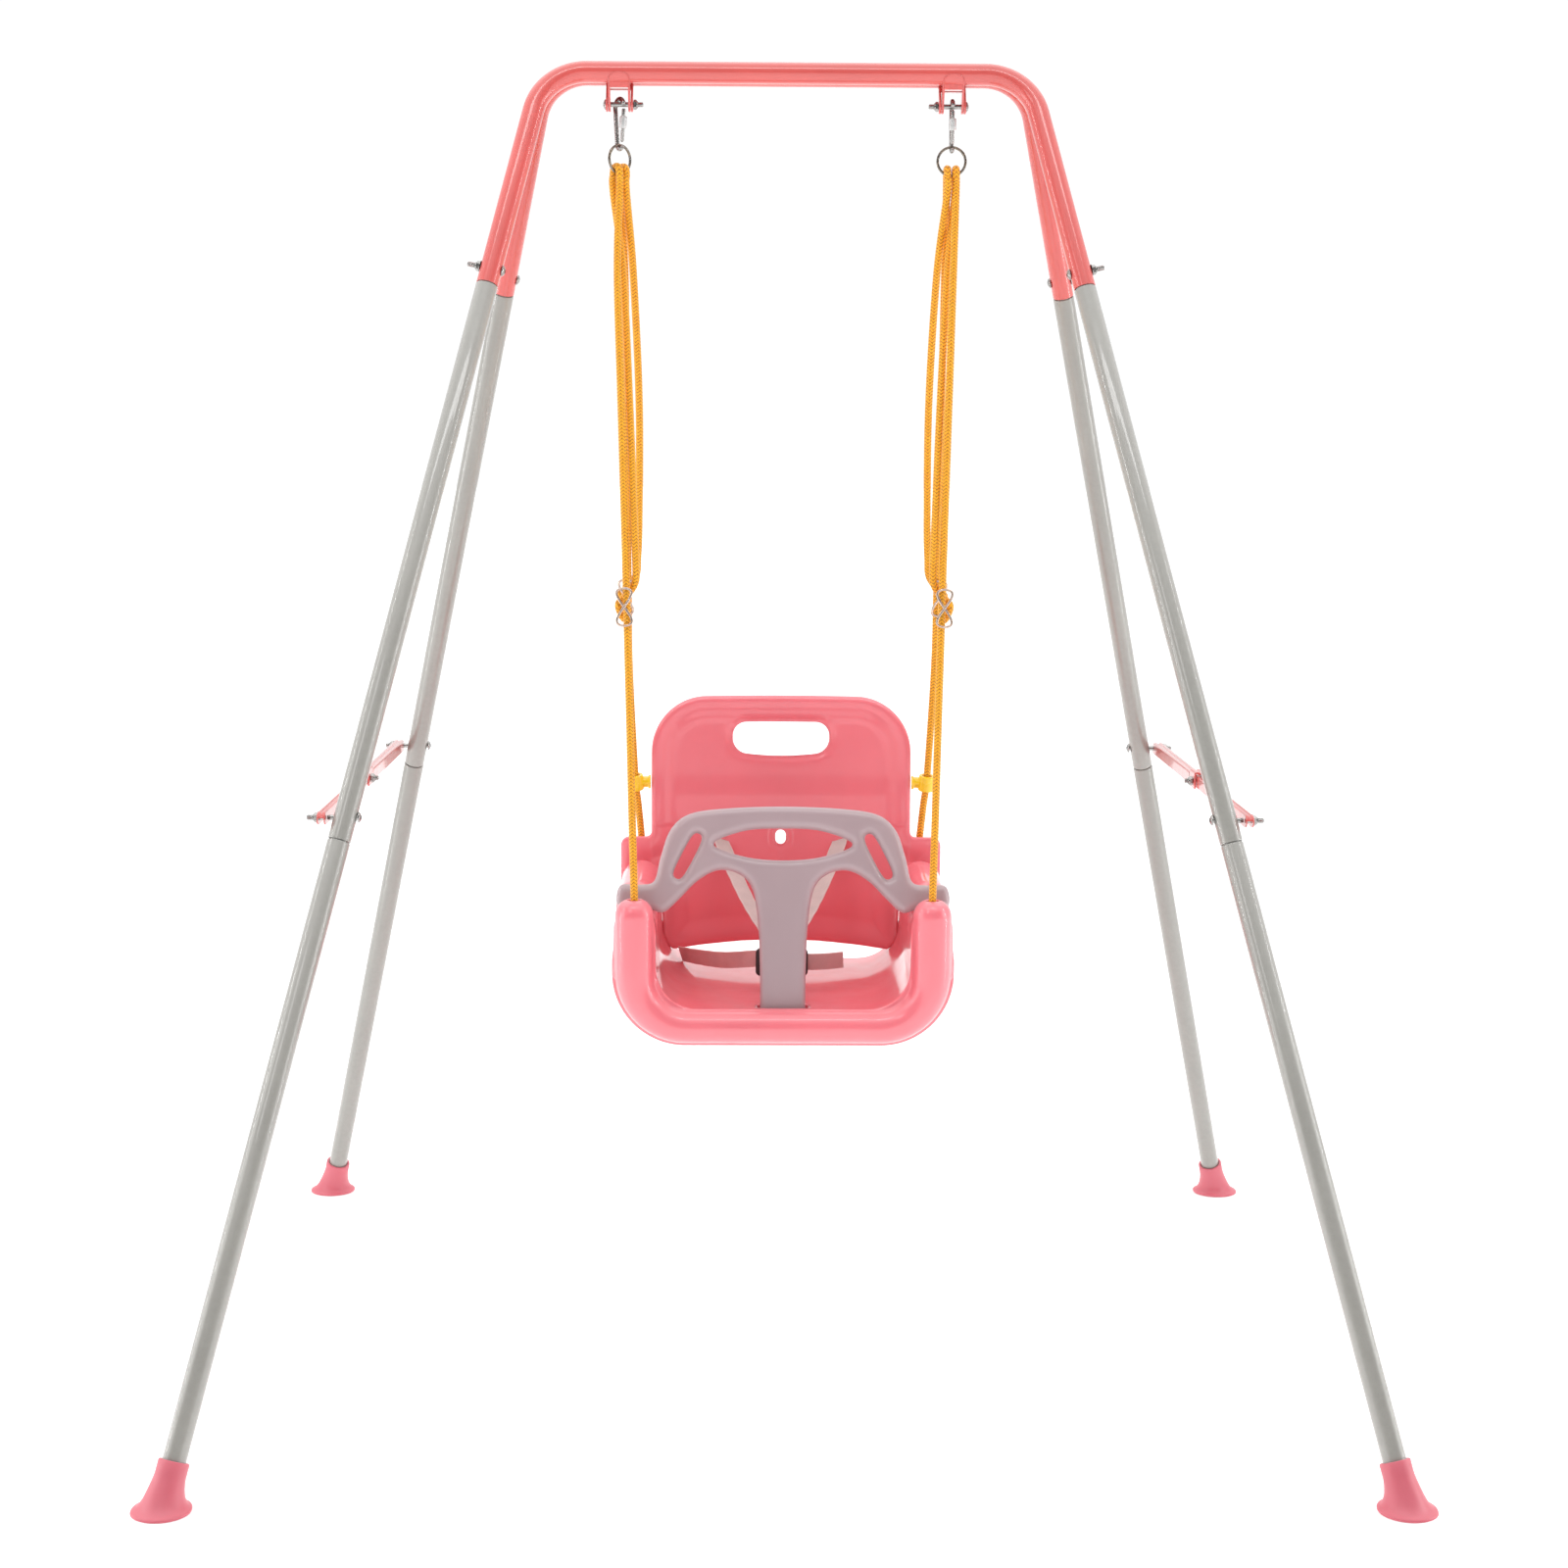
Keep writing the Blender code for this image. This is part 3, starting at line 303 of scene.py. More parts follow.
def powder_coat(name, colour, roughness):
    """Sprayed and baked coat on steel: orange peel, faint tone changes, and a painted highlight on sharp
    edges, broken into patches.
    """
    settings = {"Specular IOR Level": 0.7, "Coat Weight": 0.9, "Coat Roughness": 0.07}
    made, tree, shader, place = new_material(name, settings)
    coat = blended(tree, patches(tree, place, 9.0), shade(colour, 0.95), shade(colour, 1.04))
    specks = patches(tree, place, 420.0, 1.0, 0.68, 0.74, most=0.35)
    coat = blended(tree, specks, coat, shade(colour, 0.86))
    # painted highlight: the coat is made lighter on sharp outer edges, in random patches
    highlight_patches = patches(tree, place, 160.0, 4.0, 0.42, 0.58)
    painted_edge_highlight = sums(tree, "MULTIPLY", edges(tree, 0.54, 0.62, 0.6), highlight_patches)
    smears = patches(tree, place, 35.0, 5.0, 0.35, 0.7, roughness - 0.05, roughness + 0.08)
    colours = blended(tree, painted_edge_highlight, coat, shade(colour, 1.25))
    feed(tree, shader, {"Base Color": colours, "Roughness": smears})
    peel = bumped(tree, shader, clouds(tree, place, 500.0, 2.0), 0.07, 0.0003)
    scuffs = patches(tree, place, 60.0, 6.0, 0.70, 0.76, stretch=(1, 1, 0.12))
    bumped(tree, shader, scuffs, 0.08, 0.0002, below=peel)
    return made


def moulded(name, colour, roughness, coat=0.0, depth=0.12, grain=900.0, strength=0.05,
            glow=(0.012, 0.004, 0.004)):
    """Blow-moulded plastic: slight translucency, flow marks, a fine grain, soft waves and a painted
    highlight on sharp edges.
    """
    settings = {
        "Subsurface Weight": depth, "Subsurface Radius": glow, "Subsurface Scale": 1.0, "IOR": 1.5,
        "Specular IOR Level": 0.7, "Coat Weight": coat, "Coat Roughness": 0.07,
    }
    made, tree, shader, place = new_material(name, settings)
    flow = patches(tree, place, 7.0, 4.0, stretch=(1, 1, 0.35))
    body = blended(tree, flow, shade(colour, 0.95), shade(colour, 1.05))
    # painted highlight: the colour is made lighter on sharp outer edges
    body = blended(tree, edges(tree, 0.53, 0.60, 0.45), body, shade(colour, 1.2))
    smears = patches(tree, place, 26.0, 6.0, 0.35, 0.72, roughness - 0.04, roughness + 0.10)
    feed(tree, shader, {"Base Color": body, "Roughness": smears})
    waves = bumped(tree, shader, clouds(tree, place, 24.0, 1.0), 0.06, 0.0015)
    bumped(tree, shader, clouds(tree, place, grain, 2.0), strength, 0.0004, below=waves)
    return made


def zinc(name, colour, roughness, tint):
    """Bright plated steel with passivation tints, pits and fine drawing lines."""
    made, tree, shader, place = new_material(name, {"Metallic": 1.0})
    plating = blended(tree, patches(tree, place, 130.0, 4.0, 0.35, 0.65), colour, tint)
    pits = patches(tree, place, 900.0, 3.0, 0.62, 0.7, most=0.5)
    plating = blended(tree, pits, plating, shade(colour, 0.45))
    smears = patches(tree, place, 300.0, 4.0, 0.3, 0.7, roughness - 0.06, roughness + 0.12)
    feed(tree, shader, {"Base Color": plating, "Roughness": smears})
    bumped(tree, shader, clouds(tree, place, 1500.0, 2.0), 0.12, 0.0002)
    return made


def braid(name, colour, groove_shade_colour):
    """Braided polyethylene: glossy strands, painted shade in the grooves between them, single fibres
    running along them.
    """
    settings = {
        "Roughness": 0.5, "Sheen Weight": 0.25, "Sheen Roughness": 0.4, "Subsurface Weight": 0.15,
        "Subsurface Radius": (0.003, 0.0015, 0.0003), "Subsurface Scale": 1.0,
    }
    made, tree, shader, place = new_material(name, settings)
    height = node(tree, "Attribute", attribute_name="strand_height").outputs["Fac"]
    family = node(tree, "Attribute", attribute_name="strand_family").outputs["Fac"]
    yarn = blended(tree, patches(tree, place, 90.0), shade(colour, 0.92), shade(colour, 1.06))
    yarn = blended(tree, sums(tree, "MULTIPLY", family, 0.22), yarn, shade(colour, 0.84))
    # painted shade: the grooves between strands are coloured darker
    painted_groove_shade = mapped(tree, height, 0.30, 0.80, 0.0, 1.0)
    feed(tree, shader, {"Base Color": blended(tree, painted_groove_shade, groove_shade_colour, yarn)})
    along, around = along_and_across(tree)
    slant = mapped(tree, family, 0.4, 0.6, 1.0, -1.0)
    turn = sums(tree, "MULTIPLY", sums(tree, "MULTIPLY", around, BRAID_COLUMNS * BRAID_SLANT), slant)
    run = sums(tree, "DIVIDE", along, BRAID_PITCH)
    fibre = sums(tree, "SINE", sums(tree, "MULTIPLY", sums(tree, "ADD", run, turn), 2 * pi * 5))
    fibres = bumped(tree, shader, fibre, 0.35, 0.00012)
    bumped(tree, shader, clouds(tree, place, 2500.0, 2.0), 0.25, 0.0002, below=fibres)
    return made


def webbing(name, colour):
    """Satin woven webbing: fine ribs across, warp threads along, firmer selvages."""
    settings = {"Roughness": 0.55, "Sheen Weight": 0.35, "Sheen Roughness": 0.35}
    made, tree, shader, place = new_material(name, settings)
    along, across = along_and_across(tree)
    warp = sums(tree, "SINE", sums(tree, "MULTIPLY", across, 2 * pi * 26))
    weft = sums(tree, "SINE", sums(tree, "MULTIPLY", along, 2 * pi / 0.0011))
    weave = sums(tree, "MULTIPLY", warp, weft)
    middle = sums(tree, "ABSOLUTE", sums(tree, "SUBTRACT", across, 0.5))
    selvage = mapped(tree, middle, 0.42, 0.45, 0.0, 1.0)
    tone = patches(tree, place, 60.0, 4.0)
    cloth = blended(tree, tone, shade(colour, 0.93), shade(colour, 1.06))
    cloth = blended(tree, mapped(tree, weave, -1.0, 1.0, 0.0, 0.35), cloth, shade(colour, 0.72))
    feed(tree, shader, {"Base Color": blended(tree, selvage, cloth, shade(colour, 1.08))})
    threads = bumped(tree, shader, weave, 0.4, 0.00015)
    bumped(tree, shader, selvage, 0.3, 0.0002, below=threads)
    return made


def make_looks():
    """One material for each of the record's slots, and a few for trim that shares a slot."""
    LOOKS["frame_pink"] = powder_coat("frame_pink_coat", (0.63, 0.080, 0.070), 0.36)
    LOOKS["leg_grey"] = powder_coat("leg_grey_coat", (0.30, 0.292, 0.268), 0.36)
    LOOKS["foot_pink"] = moulded(
        "foot_pink_plastic", (0.62, 0.125, 0.165), 0.42, grain=500.0, strength=0.12
    )
    LOOKS["seat_pink"] = moulded("seat_pink_plastic", (0.86, 0.178, 0.218), 0.34, coat=0.8)
    LOOKS["guard_grey"] = moulded(
        "guard_grey_plastic", (0.42, 0.305, 0.325), 0.38, coat=0.4, depth=0.08, glow=(0.004, 0.003, 0.003)
    )
    LOOKS["connector_yellow"] = moulded(
        "connector_yellow_plastic", (0.95, 0.62, 0.0), 0.25, coat=0.5, glow=(0.005, 0.003, 0.0005)
    )
    # the second colour is the painted shade in the braid's grooves
    LOOKS["rope_yellow"] = braid("rope_braid", (0.97, 0.43, 0.006), (0.22, 0.035, 0.0))
    LOOKS["steel"] = zinc("bright_zinc", (0.40, 0.39, 0.38), 0.20, (0.30, 0.29, 0.28))
    LOOKS["ring_steel"] = zinc("yellow_zinc", (0.26, 0.22, 0.17), 0.18, (0.17, 0.16, 0.15))
    LOOKS["sleeve_steel"] = zinc("satin_zinc", (0.62, 0.62, 0.61), 0.42, (0.52, 0.53, 0.53))
    LOOKS["adjuster_steel"] = zinc("copper_zinc", (0.62, 0.47, 0.38), 0.22, (0.50, 0.42, 0.37))
    LOOKS["webbing"] = webbing("harness_webbing", (0.58, 0.46, 0.44))
    # painted light: the waist strap's webbing is a lighter copy of the harness webbing, making up for the
    # shade inside the seat
    LOOKS["waist_webbing_painted_light"] = webbing("waist_webbing_painted_light", (0.72, 0.52, 0.50))
    LOOKS["buckle_black"] = moulded(
        "buckle_plastic", (0.018, 0.018, 0.019), 0.42, depth=0.0, grain=1500.0, strength=0.2
    )


# ---------------------------------------------------------------- mesh helpers
def piece(name, mesh, look, body, *nodes, sharp=0.6):
    """A finished piece: it rides on its body, has its slot, and stands for its CAD nodes."""
    made = linked(name, mesh)
    mesh.materials.clear()
    mesh.materials.append(LOOKS[look])
    mesh.shade_smooth()
    mesh.set_sharp_from_angle(angle=sharp)
    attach(made, body)
    if nodes:
        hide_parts(*nodes)
    return made


def body_of(end):
    return "front_frame" if end < 0 else "rear_frame"


def lattice(name, verts, closed=False, capped=False, lengths=None):
    """A mesh over rows of rings, (rows, sides, 3). Closed joins the last row to the first."""
    verts = np.asarray(verts, float)
    rows, sides = verts.shape[:2]
    index = np.arange(rows * sides).reshape(rows, sides)
    low = index if closed else index[:-1]
    high = np.roll(index, -1, 0) if closed else index[1:]
    quads = np.stack([low, np.roll(low, -1, 1), np.roll(high, -1, 1), high], -1).reshape(-1, 4)
    faces = quads.tolist()
    if capped:
        faces += [index[0][::-1].tolist(), index[-1].tolist()]
    mesh = bpy.data.meshes.new(name)
    mesh.from_pydata(verts.reshape(-1, 3).tolist(), [], faces)
    along = np.arange(rows + 1, dtype=float) if lengths is None else np.append(lengths, lengths[-1])
    around = np.arange(sides + 1) / sides
    spans = len(low)
    uv = np.zeros((spans, sides, 4, 2))
    uv[:, :, (0, 1), 0] = along[:spans, None, None]
    uv[:, :, (2, 3), 0] = along[1:spans + 1, None, None]
    uv[:, :, (0, 3), 1] = around[None, :-1, None]
    uv[:, :, (1, 2), 1] = around[None, 1:, None]
    flat = np.zeros((len(mesh.loops), 2))
    flat[:spans * sides * 4] = uv.reshape(-1, 2)
    mesh.uv_layers.new(name="UVMap").data.foreach_set("uv", flat.ravel())
    return mesh


def path_frames(points, closed=False):
    """Two cross directions at each point of a path, turned as little as possible along it."""
    points = np.asarray(points, float)
    ahead = np.roll(points, -1, 0) - np.roll(points, 1, 0) if closed else np.gradient(points, axis=0)
    tangents = ahead / np.linalg.norm(ahead, axis=1)[:, None]
    least = np.eye(3)[np.argmin(np.abs(tangents[0]))]
    across = [np.cross(tangents[0], least)]
    across[0] /= np.linalg.norm(across[0])
    for tangent in [*tangents[1:], *([tangents[0]] if closed else [])]:
        turned = across[-1] - tangent * across[-1].dot(tangent)
        across.append(turned / np.linalg.norm(turned))
    if closed:
        last = across.pop()
        twist = atan2(np.cross(across[0], last).dot(tangents[0]), across[0].dot(last))
        over = np.cross(tangents, across)
        back = -twist * np.arange(len(points))[:, None] / len(points)
        across = np.array(across) * np.cos(back) + over * np.sin(back)
    across = np.array(across)
    return across, np.cross(tangents, across)


def circle(radius, sides):
    angles = np.arange(sides) * 2 * pi / sides
    return np.stack([radius * np.cos(angles), radius * np.sin(angles)], -1)


def run_lengths(points):
    steps = np.linalg.norm(np.diff(np.asarray(points, float), axis=0), axis=1)
    return np.concatenate([[0], np.cumsum(steps)])


def swept(name, points, rings, closed=False):
    """A solid along points: rings holds (across, over) offsets, one ring for all or one for each."""
    points = np.asarray(points, float)
    across, over = path_frames(points, closed)
    rings = np.asarray(rings, float)
    if rings.ndim == 2:
        rings = np.repeat(rings[None], len(points), 0)
    verts = points[:, None] + rings[..., :1] * across[:, None] + rings[..., 1:] * over[:, None]
    return lattice(name, verts, closed, not closed, run_lengths(points))


def wire_mesh(name, points, radius, sides, closed=False):
    """A round wire with rounded ends."""
    rings = np.repeat(circle(radius, sides)[None], len(points), 0)
    if not closed:
        points, shares = rounded_ends(points, radius)
        rings = circle(radius, sides)[None] * np.asarray(shares)[:, None, None]
    return swept(name, points, rings, closed)


def rounded_ends(points, radius):
    """The path with extra points at both ends, and each point's share of the full radius."""
    steps = 4
    points = [Vector(p) for p in points]
    first = (points[1] - points[0]).normalized()
    last = (points[-1] - points[-2]).normalized()
    turns = [pi / 2 * k / steps for k in range(1, steps + 1)]
    ahead = [(points[0] + first * radius * (1 - sin(t)), max(cos(t), 0.12)) for t in reversed(turns)]
    behind = [(points[-1] - last * radius * (1 - sin(t)), max(cos(t), 0.12)) for t in turns]
    far_in = run_lengths(points)
    inner = [
        (p, 1.0) for p, s in zip(points, far_in) if radius * 1.02 < s < far_in[-1] - radius * 1.02
    ]
    start = [(points[0] + first * radius, 1.0)]
    end = [(points[-1] - last * radius, 1.0)]
    whole = ahead + start + inner + end + behind
    return [p for p, _ in whole], [share for _, share in whole]


def pipe(name, points, radius, wall, sides):
    """An open tube with a wall and eased ends."""
    ease = 0.0004
    points = [Vector(p) for p in points]
    first = (points[1] - points[0]).normalized()
    last = (points[-1] - points[-2]).normalized()
    points = [points[0], points[0] + first * ease, *points[1:-1], points[-1] - last * ease, points[-1]]
    count = len(points)
    outer = np.full(count, radius)
    outer[[0, -1]] -= ease
    inner = np.full(count, radius - wall)
    across, over = path_frames(points)
    spots = np.array(points)
    ring = circle(1.0, sides)
    unit = ring[:, :1] * across[:, None] + ring[:, 1:] * over[:, None]
    outside = spots[:, None] + unit * outer[:, None, None]
    inside = spots[:, None] + unit * inner[:, None, None]
    return lattice(name, np.concatenate([outside, inside[::-1]]), closed=True)


def level_ring(angles, radius, height):
    """A ring of points at one height. The radius is one number, or one for each angle."""
    flat = [radius * np.cos(angles), radius * np.sin(angles)]
    return np.column_stack([*flat, np.full(len(angles), height)])


def turned(name, profile, sides, closed=False):
    """A profile of (radius, height) points turned about local Z, listed bottom to top outside."""
    ring = circle(1.0, sides)
    verts = [np.column_stack([ring * radius, np.full(sides, height)]) for radius, height in profile]
    return lattice(name, verts, closed, not closed)


def eased(outline, cut):
    """A closed outline with each corner replaced by a short round, cut long to both sides."""
    points = [Vector(p) for p in outline]
    made = []
    for i, corner in enumerate(points):
        before, after = points[i - 1] - corner, points[(i + 1) % len(points)] - corner
        start = corner + before.normalized() * min(cut, before.length * 0.45)
        end = corner + after.normalized() * min(cut, after.length * 0.45)
        made += [start, (start + corner * 2 + end) / 4, end]
    return [tuple(p) for p in made]


def along(start, direction):
    """Matrix that puts local Z along direction, with the origin at start."""
    turn = Vector(direction).to_track_quat("Z", "Y").to_matrix().to_4x4()
    return Matrix.Translation(Vector(start)) @ turn


def joined(name, parts):
    """One mesh from several (mesh, matrix) parts, UVs kept."""
    verts, faces, uvs = [], [], []
    for mesh, matrix in parts:
        base = len(verts)
        verts += [matrix @ v.co for v in mesh.vertices]
        faces += [[base + i for i in face.vertices] for face in mesh.polygons]
        layer = mesh.uv_layers.active
        uvs += [tuple(d.uv) for d in layer.data] if layer else [(0, 0)] * len(mesh.loops)
        bpy.data.meshes.remove(mesh)
    made = bpy.data.meshes.new(name)
    made.from_pydata(verts, [], faces)
    made.uv_layers.new(name="UVMap").data.foreach_set("uv", np.array(uvs).ravel())
    return made


def prism(name, outline, low, high, plane="YZ", ease=0.0):
    """An outline given thickness: its plane is YZ or XZ, and low..high is along the third axis."""
    inner = [Vector(p) for p in outline]
    if ease:
        middle = sum(inner, Vector((0, 0))) / len(inner)
        reach = max((p - middle).length for p in inner)
        small = [middle + (p - middle) * (1 - ease / reach) for p in inner]
        levels = [(small, low), (inner, low + ease), (inner, high - ease), (small, high)]
    else:
        levels = [(inner, low), (inner, high)]
    if plane == "YZ":
        rows = [[(depth, p.x, p.y) for p in ring] for ring, depth in levels]
    else:
        rows = [[(p.x, depth, p.y) for p in reversed(ring)] for ring, depth in levels]
    return lattice(name, rows, capped=True)


def arc(centre, radius, first, last, steps):
    u, v = centre
    angles = [first + (last - first) * i / steps for i in range(steps + 1)]
    return [(u + radius * cos(a), v + radius * sin(a)) for a in angles]


def spline_point(a, b, c, d, share):
    """The point at share of the way from b to c on the Catmull-Rom curve through a, b, c and d."""
    straight = 2 * b + (c - a) * share
    return 0.5 * (straight + (2 * a - 5 * b + 4 * c - d) * share**2 + (3 * b - a - 3 * c + d) * share**3)


def smooth_path(points, per_span):
    """Points on the Catmull-Rom curve through the route's own points."""
    points = [Vector(p) for p in points]
    padded = [2 * points[0] - points[1], *points, 2 * points[-1] - points[-2]]
    path = []
    for a, b, c, d in zip(padded, padded[1:], padded[2:], padded[3:]):
        path += [spline_point(a, b, c, d, k / per_span) for k in range(per_span)]
    return path + [points[-1]]


def spaced(points, step):
    """Points a step apart along a path."""
    points = np.asarray([tuple(p) for p in points], float)
    lengths = run_lengths(points)
    count = max(int(round(lengths[-1] / step)), 2)
    marks = np.linspace(0, lengths[-1], count + 1)
    return np.stack([np.interp(marks, lengths, points[:, k]) for k in range(3)], -1)


def mesh_of(carrier):
    """A new mesh of the object as its modifiers leave it; the object is removed."""
    graph = bpy.context.evaluated_depsgraph_get()
    made = bpy.data.meshes.new_from_object(carrier.evaluated_get(graph))
    bpy.data.objects.remove(carrier)
    return made


def evaluated(name, mesh, *steps):
    """The mesh after modifiers, each given as (kind, settings)."""
    carrier = linked(name, mesh)
    for kind, settings in steps:
        modifier = carrier.modifiers.new(kind.lower(), kind)
        for key, value in settings.items():
            setattr(modifier, key, value)
    result = mesh_of(carrier)
    bpy.data.meshes.remove(mesh)
    result.name = name
    return result


def cut_by(name, mesh, cutters):
    """The mesh with each cutter mesh taken out of it."""
    for i, cutter in enumerate(cutters):
        tool = linked(f"{name}_cutter_{i}", cutter)
        mesh = evaluated(name, mesh, ("BOOLEAN", {"operation": "DIFFERENCE", "object": tool}))
        bpy.data.objects.remove(tool)
    return mesh


def voxels(size):
    return "REMESH", {"mode": "VOXEL", "voxel_size": size}


def smoothing(passes):
    return "SMOOTH", {"factor": 0.5, "iterations": passes}


def coordinates(mesh):
    points = np.empty(len(mesh.vertices) * 3)
    mesh.vertices.foreach_get("co", points)
    return points.reshape(-1, 3)


def set_coordinates(mesh, points):
    mesh.vertices.foreach_set("co", np.ascontiguousarray(points, float).ravel())
    mesh.update()


def distance_to(loops, spots):
    """Distance from each (u, v) spot to the nearest edge of closed loops."""
    best = np.full(len(spots), 1e9)
    for loop in loops:
        ends = np.asarray([tuple(p) for p in loop], float)
        for a, b in zip(ends, np.roll(ends, -1, 0)):
            run = b - a
            share = np.clip(((spots - a) @ run) / max(run @ run, 1e-12), 0, 1)
            best = np.minimum(best, np.linalg.norm(spots - a - share[:, None] * run, axis=1))
    return best


def smoothstep(value, low, high):
    t = np.clip((np.asarray(value, float) - low) / (high - low), 0, 1)
    return t * t * (3 - 2 * t)


def plate(name, loops, half_depth, voxel):
    """A flat plate in local XY with holes, as an even skin ready to be shaped."""
    curve = bpy.data.curves.new(name, "CURVE")
    curve.dimensions = "2D"
    curve.fill_mode = "BOTH"
    curve.extrude = half_depth
    for loop in loops:
        spline = curve.splines.new("POLY")
        spline.points.add(len(loop) - 1)
        for slot, point in zip(spline.points, loop):
            slot.co = (point[0], point[1], 0, 1)
        spline.use_cyclic_u = True
    flat = mesh_of(linked(name, curve))
    return evaluated(name, flat, ("WELD", {"merge_threshold": 0.00001}), voxels(voxel))


def closed_curve(points, per_span=8, square=()):
    """A smooth closed loop through points, straight-cornered at the ones listed as square."""
    points = [Vector(p) for p in points]
    count = len(points)
    loop = []
    for i in range(count):
        a, b, c, d = (points[(i + k) % count] for k in (-1, 0, 1, 2))
        if i in square:
            a = 2 * b - c
        if (i + 1) % count in square:
            d = 2 * c - b
        loop += [spline_point(a, b, c, d, k / per_span) for k in range(per_span)]
    return loop


# ---------------------------------------------------------------- ropes and adjusters
BRAID_COLUMNS = 8           # columns of slanting strands around the rope, in opposed pairs
BRAID_PITCH = 0.0040        # from one strand to the next along a column
BRAID_SLANT = 0.75          # rise of a strand across its column, in pitches
BRAID_HEIGHT = 0.00060


def front_rope_route(side):
    """Post, ring, adjuster. Each point is (x, z, its distance behind the rope's own plane)."""
    main = [
        (POST_X - 0.0003, 0.518, 0), (POST_X, POST_TOP, 0), (0.1743, 0.64, 0), (0.1775, 0.75, 0),
        (0.1800, 0.83, 0), (0.1817, ADJUSTER_HEIGHT, 0), (0.1840, 0.96, 0), (0.1895, 1.12, 0),
        (0.1945, 1.27, 0),
    ]
    tail = [
        (0.1885, 1.27, 0.0125), (0.1800, 1.12, 0.0070), (0.1735, 0.98, 0.0010),
        (0.1715, 0.935, 0.0005), (0.1722, 0.915, 0.0040), (0.1800, 0.9015, 0.0102),
        (0.1868, 0.895, 0.0096), (0.1914, 0.8885, 0.0042), (0.1885, 0.877, 0.0088),
        (0.1825, 0.869, 0.0107),
    ]

    def placed(route):
        plane = [-STRAND - (STRAND_TOP - z) * ROPE_SLOPE for _, z, _ in route]
        return [Vector((side * x, y + behind, z)) for (x, z, behind), y in zip(route, plane)]

    return placed(main) + loop_over_ring(side, LOOP, rear_first=False) + placed(tail)


def rear_rope_route(side):
    """Boss, clip, ring, adjuster. Each point is (x, z, y)."""
    main = [
        (POST_X - 0.0003, 0.462, 0.1515), (POST_X, 0.500, REAR_ROPE_Y), (0.1722, 0.560, 0.1395),
        (0.1768, 0.620, 0.1290), (CONNECTOR.x, CONNECTOR.z, CONNECTOR.y), (0.1838, 0.720, 0.1110),
        (0.1862, 0.780, 0.1010), (0.1872, 0.830, 0.0900), (0.1872, ADJUSTER_HEIGHT, 0.0822),
        (0.1874, 0.96, 0.0700), (0.1876, 1.12, 0.0455), (0.1878, 1.27, 0.0225),
    ]
    tail = [
        (0.1775, 1.27, 0.0080), (0.1720, 1.12, 0.0380), (0.1735, 0.98, 0.0650),
        (0.1755, 0.935, 0.0746), (0.1772, 0.915, 0.0815), (0.1852, 0.9015, 0.0902),
        (0.1922, 0.895, 0.0904), (0.1970, 0.8885, 0.0861), (0.1942, 0.877, 0.0925),
        (0.1885, 0.869, 0.0955),
    ]

    def placed(route):
        return [Vector((side * x, y, z)) for x, z, y in route]

    return placed(main) + loop_over_ring(side, -LOOP, rear_first=True) + placed(tail)


def hanger_point(side, across, depth, height, turns=HOOK_TURN):
    turn = turns[side]
    x = across * cos(turn) + depth * sin(turn)
    y = depth * cos(turn) - across * sin(turn)
    return Vector((side * (HINGE_X + x), y, height))


def loop_over_ring(side, place_along, rear_first):
    sign = 1 if rear_first else -1
    shift = -place_along * tan(RING_TURN[side] - HOOK_TURN[side])
    half = [(1, -0.0288), (1, -0.0088), (0.72, -0.002)]
    rises = [*half, (0, 0), *[(-k, rise) for k, rise in reversed(half)]]
    return [
        hanger_point(side, place_along, sign * k * STRAND + shift, LOOP_TOP + rise)
        for k, rise in rises
    ]


def braid_pattern(along, around):
    """Height 0..1 of a herringbone braid and which way its strands slant, at each place."""
    column = around * BRAID_COLUMNS
    hand = np.floor(column) % 2
    across = column % 1
    slanted = np.where(hand == 0, across, 1 - across)
    phase = (along / BRAID_PITCH + BRAID_SLANT * slanted) % 1
    crown = np.sqrt(np.clip(1 - (2 * phase - 1) ** 2, 0, 1))
    edge = np.sqrt(np.clip(1 - (2 * across - 1) ** 2, 0, 1))
    return crown * (0.60 + 0.40 * edge), hand + 0 * phase


def rope_mesh(name, centres):
    """The braided surface along the centre line, its end rounded off as if melted."""
    sides = 48
    lengths = run_lengths(centres)
    around = (np.arange(sides) + 0.5) / sides
    height, family = braid_pattern(lengths[:, None], around[None, :])
    radius = ROPE_RADIUS - BRAID_HEIGHT * (1 - height)
    to_end = np.minimum(lengths, lengths[-1] - lengths) / ROPE_RADIUS
    radius *= np.sqrt(np.clip(1 - (1 - np.clip(to_end, 0.02, 1)) ** 2, 0, 1))[:, None]
    angles = around * 2 * pi
    rings = np.stack([radius * np.cos(angles), radius * np.sin(angles)], -1)
    mesh = swept(name, centres, rings)
    for label, values in (("strand_height", height), ("strand_family", family)):
        layer = mesh.attributes.new(label, "FLOAT", "POINT")
        layer.data.foreach_set("value", np.ascontiguousarray(values, np.float32).ravel())
    return mesh


def adjuster_mesh(name, centre, along_rope, facing):
    """A wire bent to a figure-8: two eyes for the rope, and the wires crossing between them."""
    up = Vector(along_rope).normalized()
    across = up.cross(Vector(facing)).normalized()
    out = across.cross(up)
    points = []
    count = 72
    for k in range(count):
        t = 2 * pi * k / count
        rise = 0.0240 * sin(t) * (1 - 0.10 * sin(t) ** 2)
        width = 0.0086 * sin(2 * t)
        depth = 0.0017 * cos(t)
        points.append(centre + up * rise + across * width + out * depth)
    return wire_mesh(name, points, 0.0015, 12, closed=True)


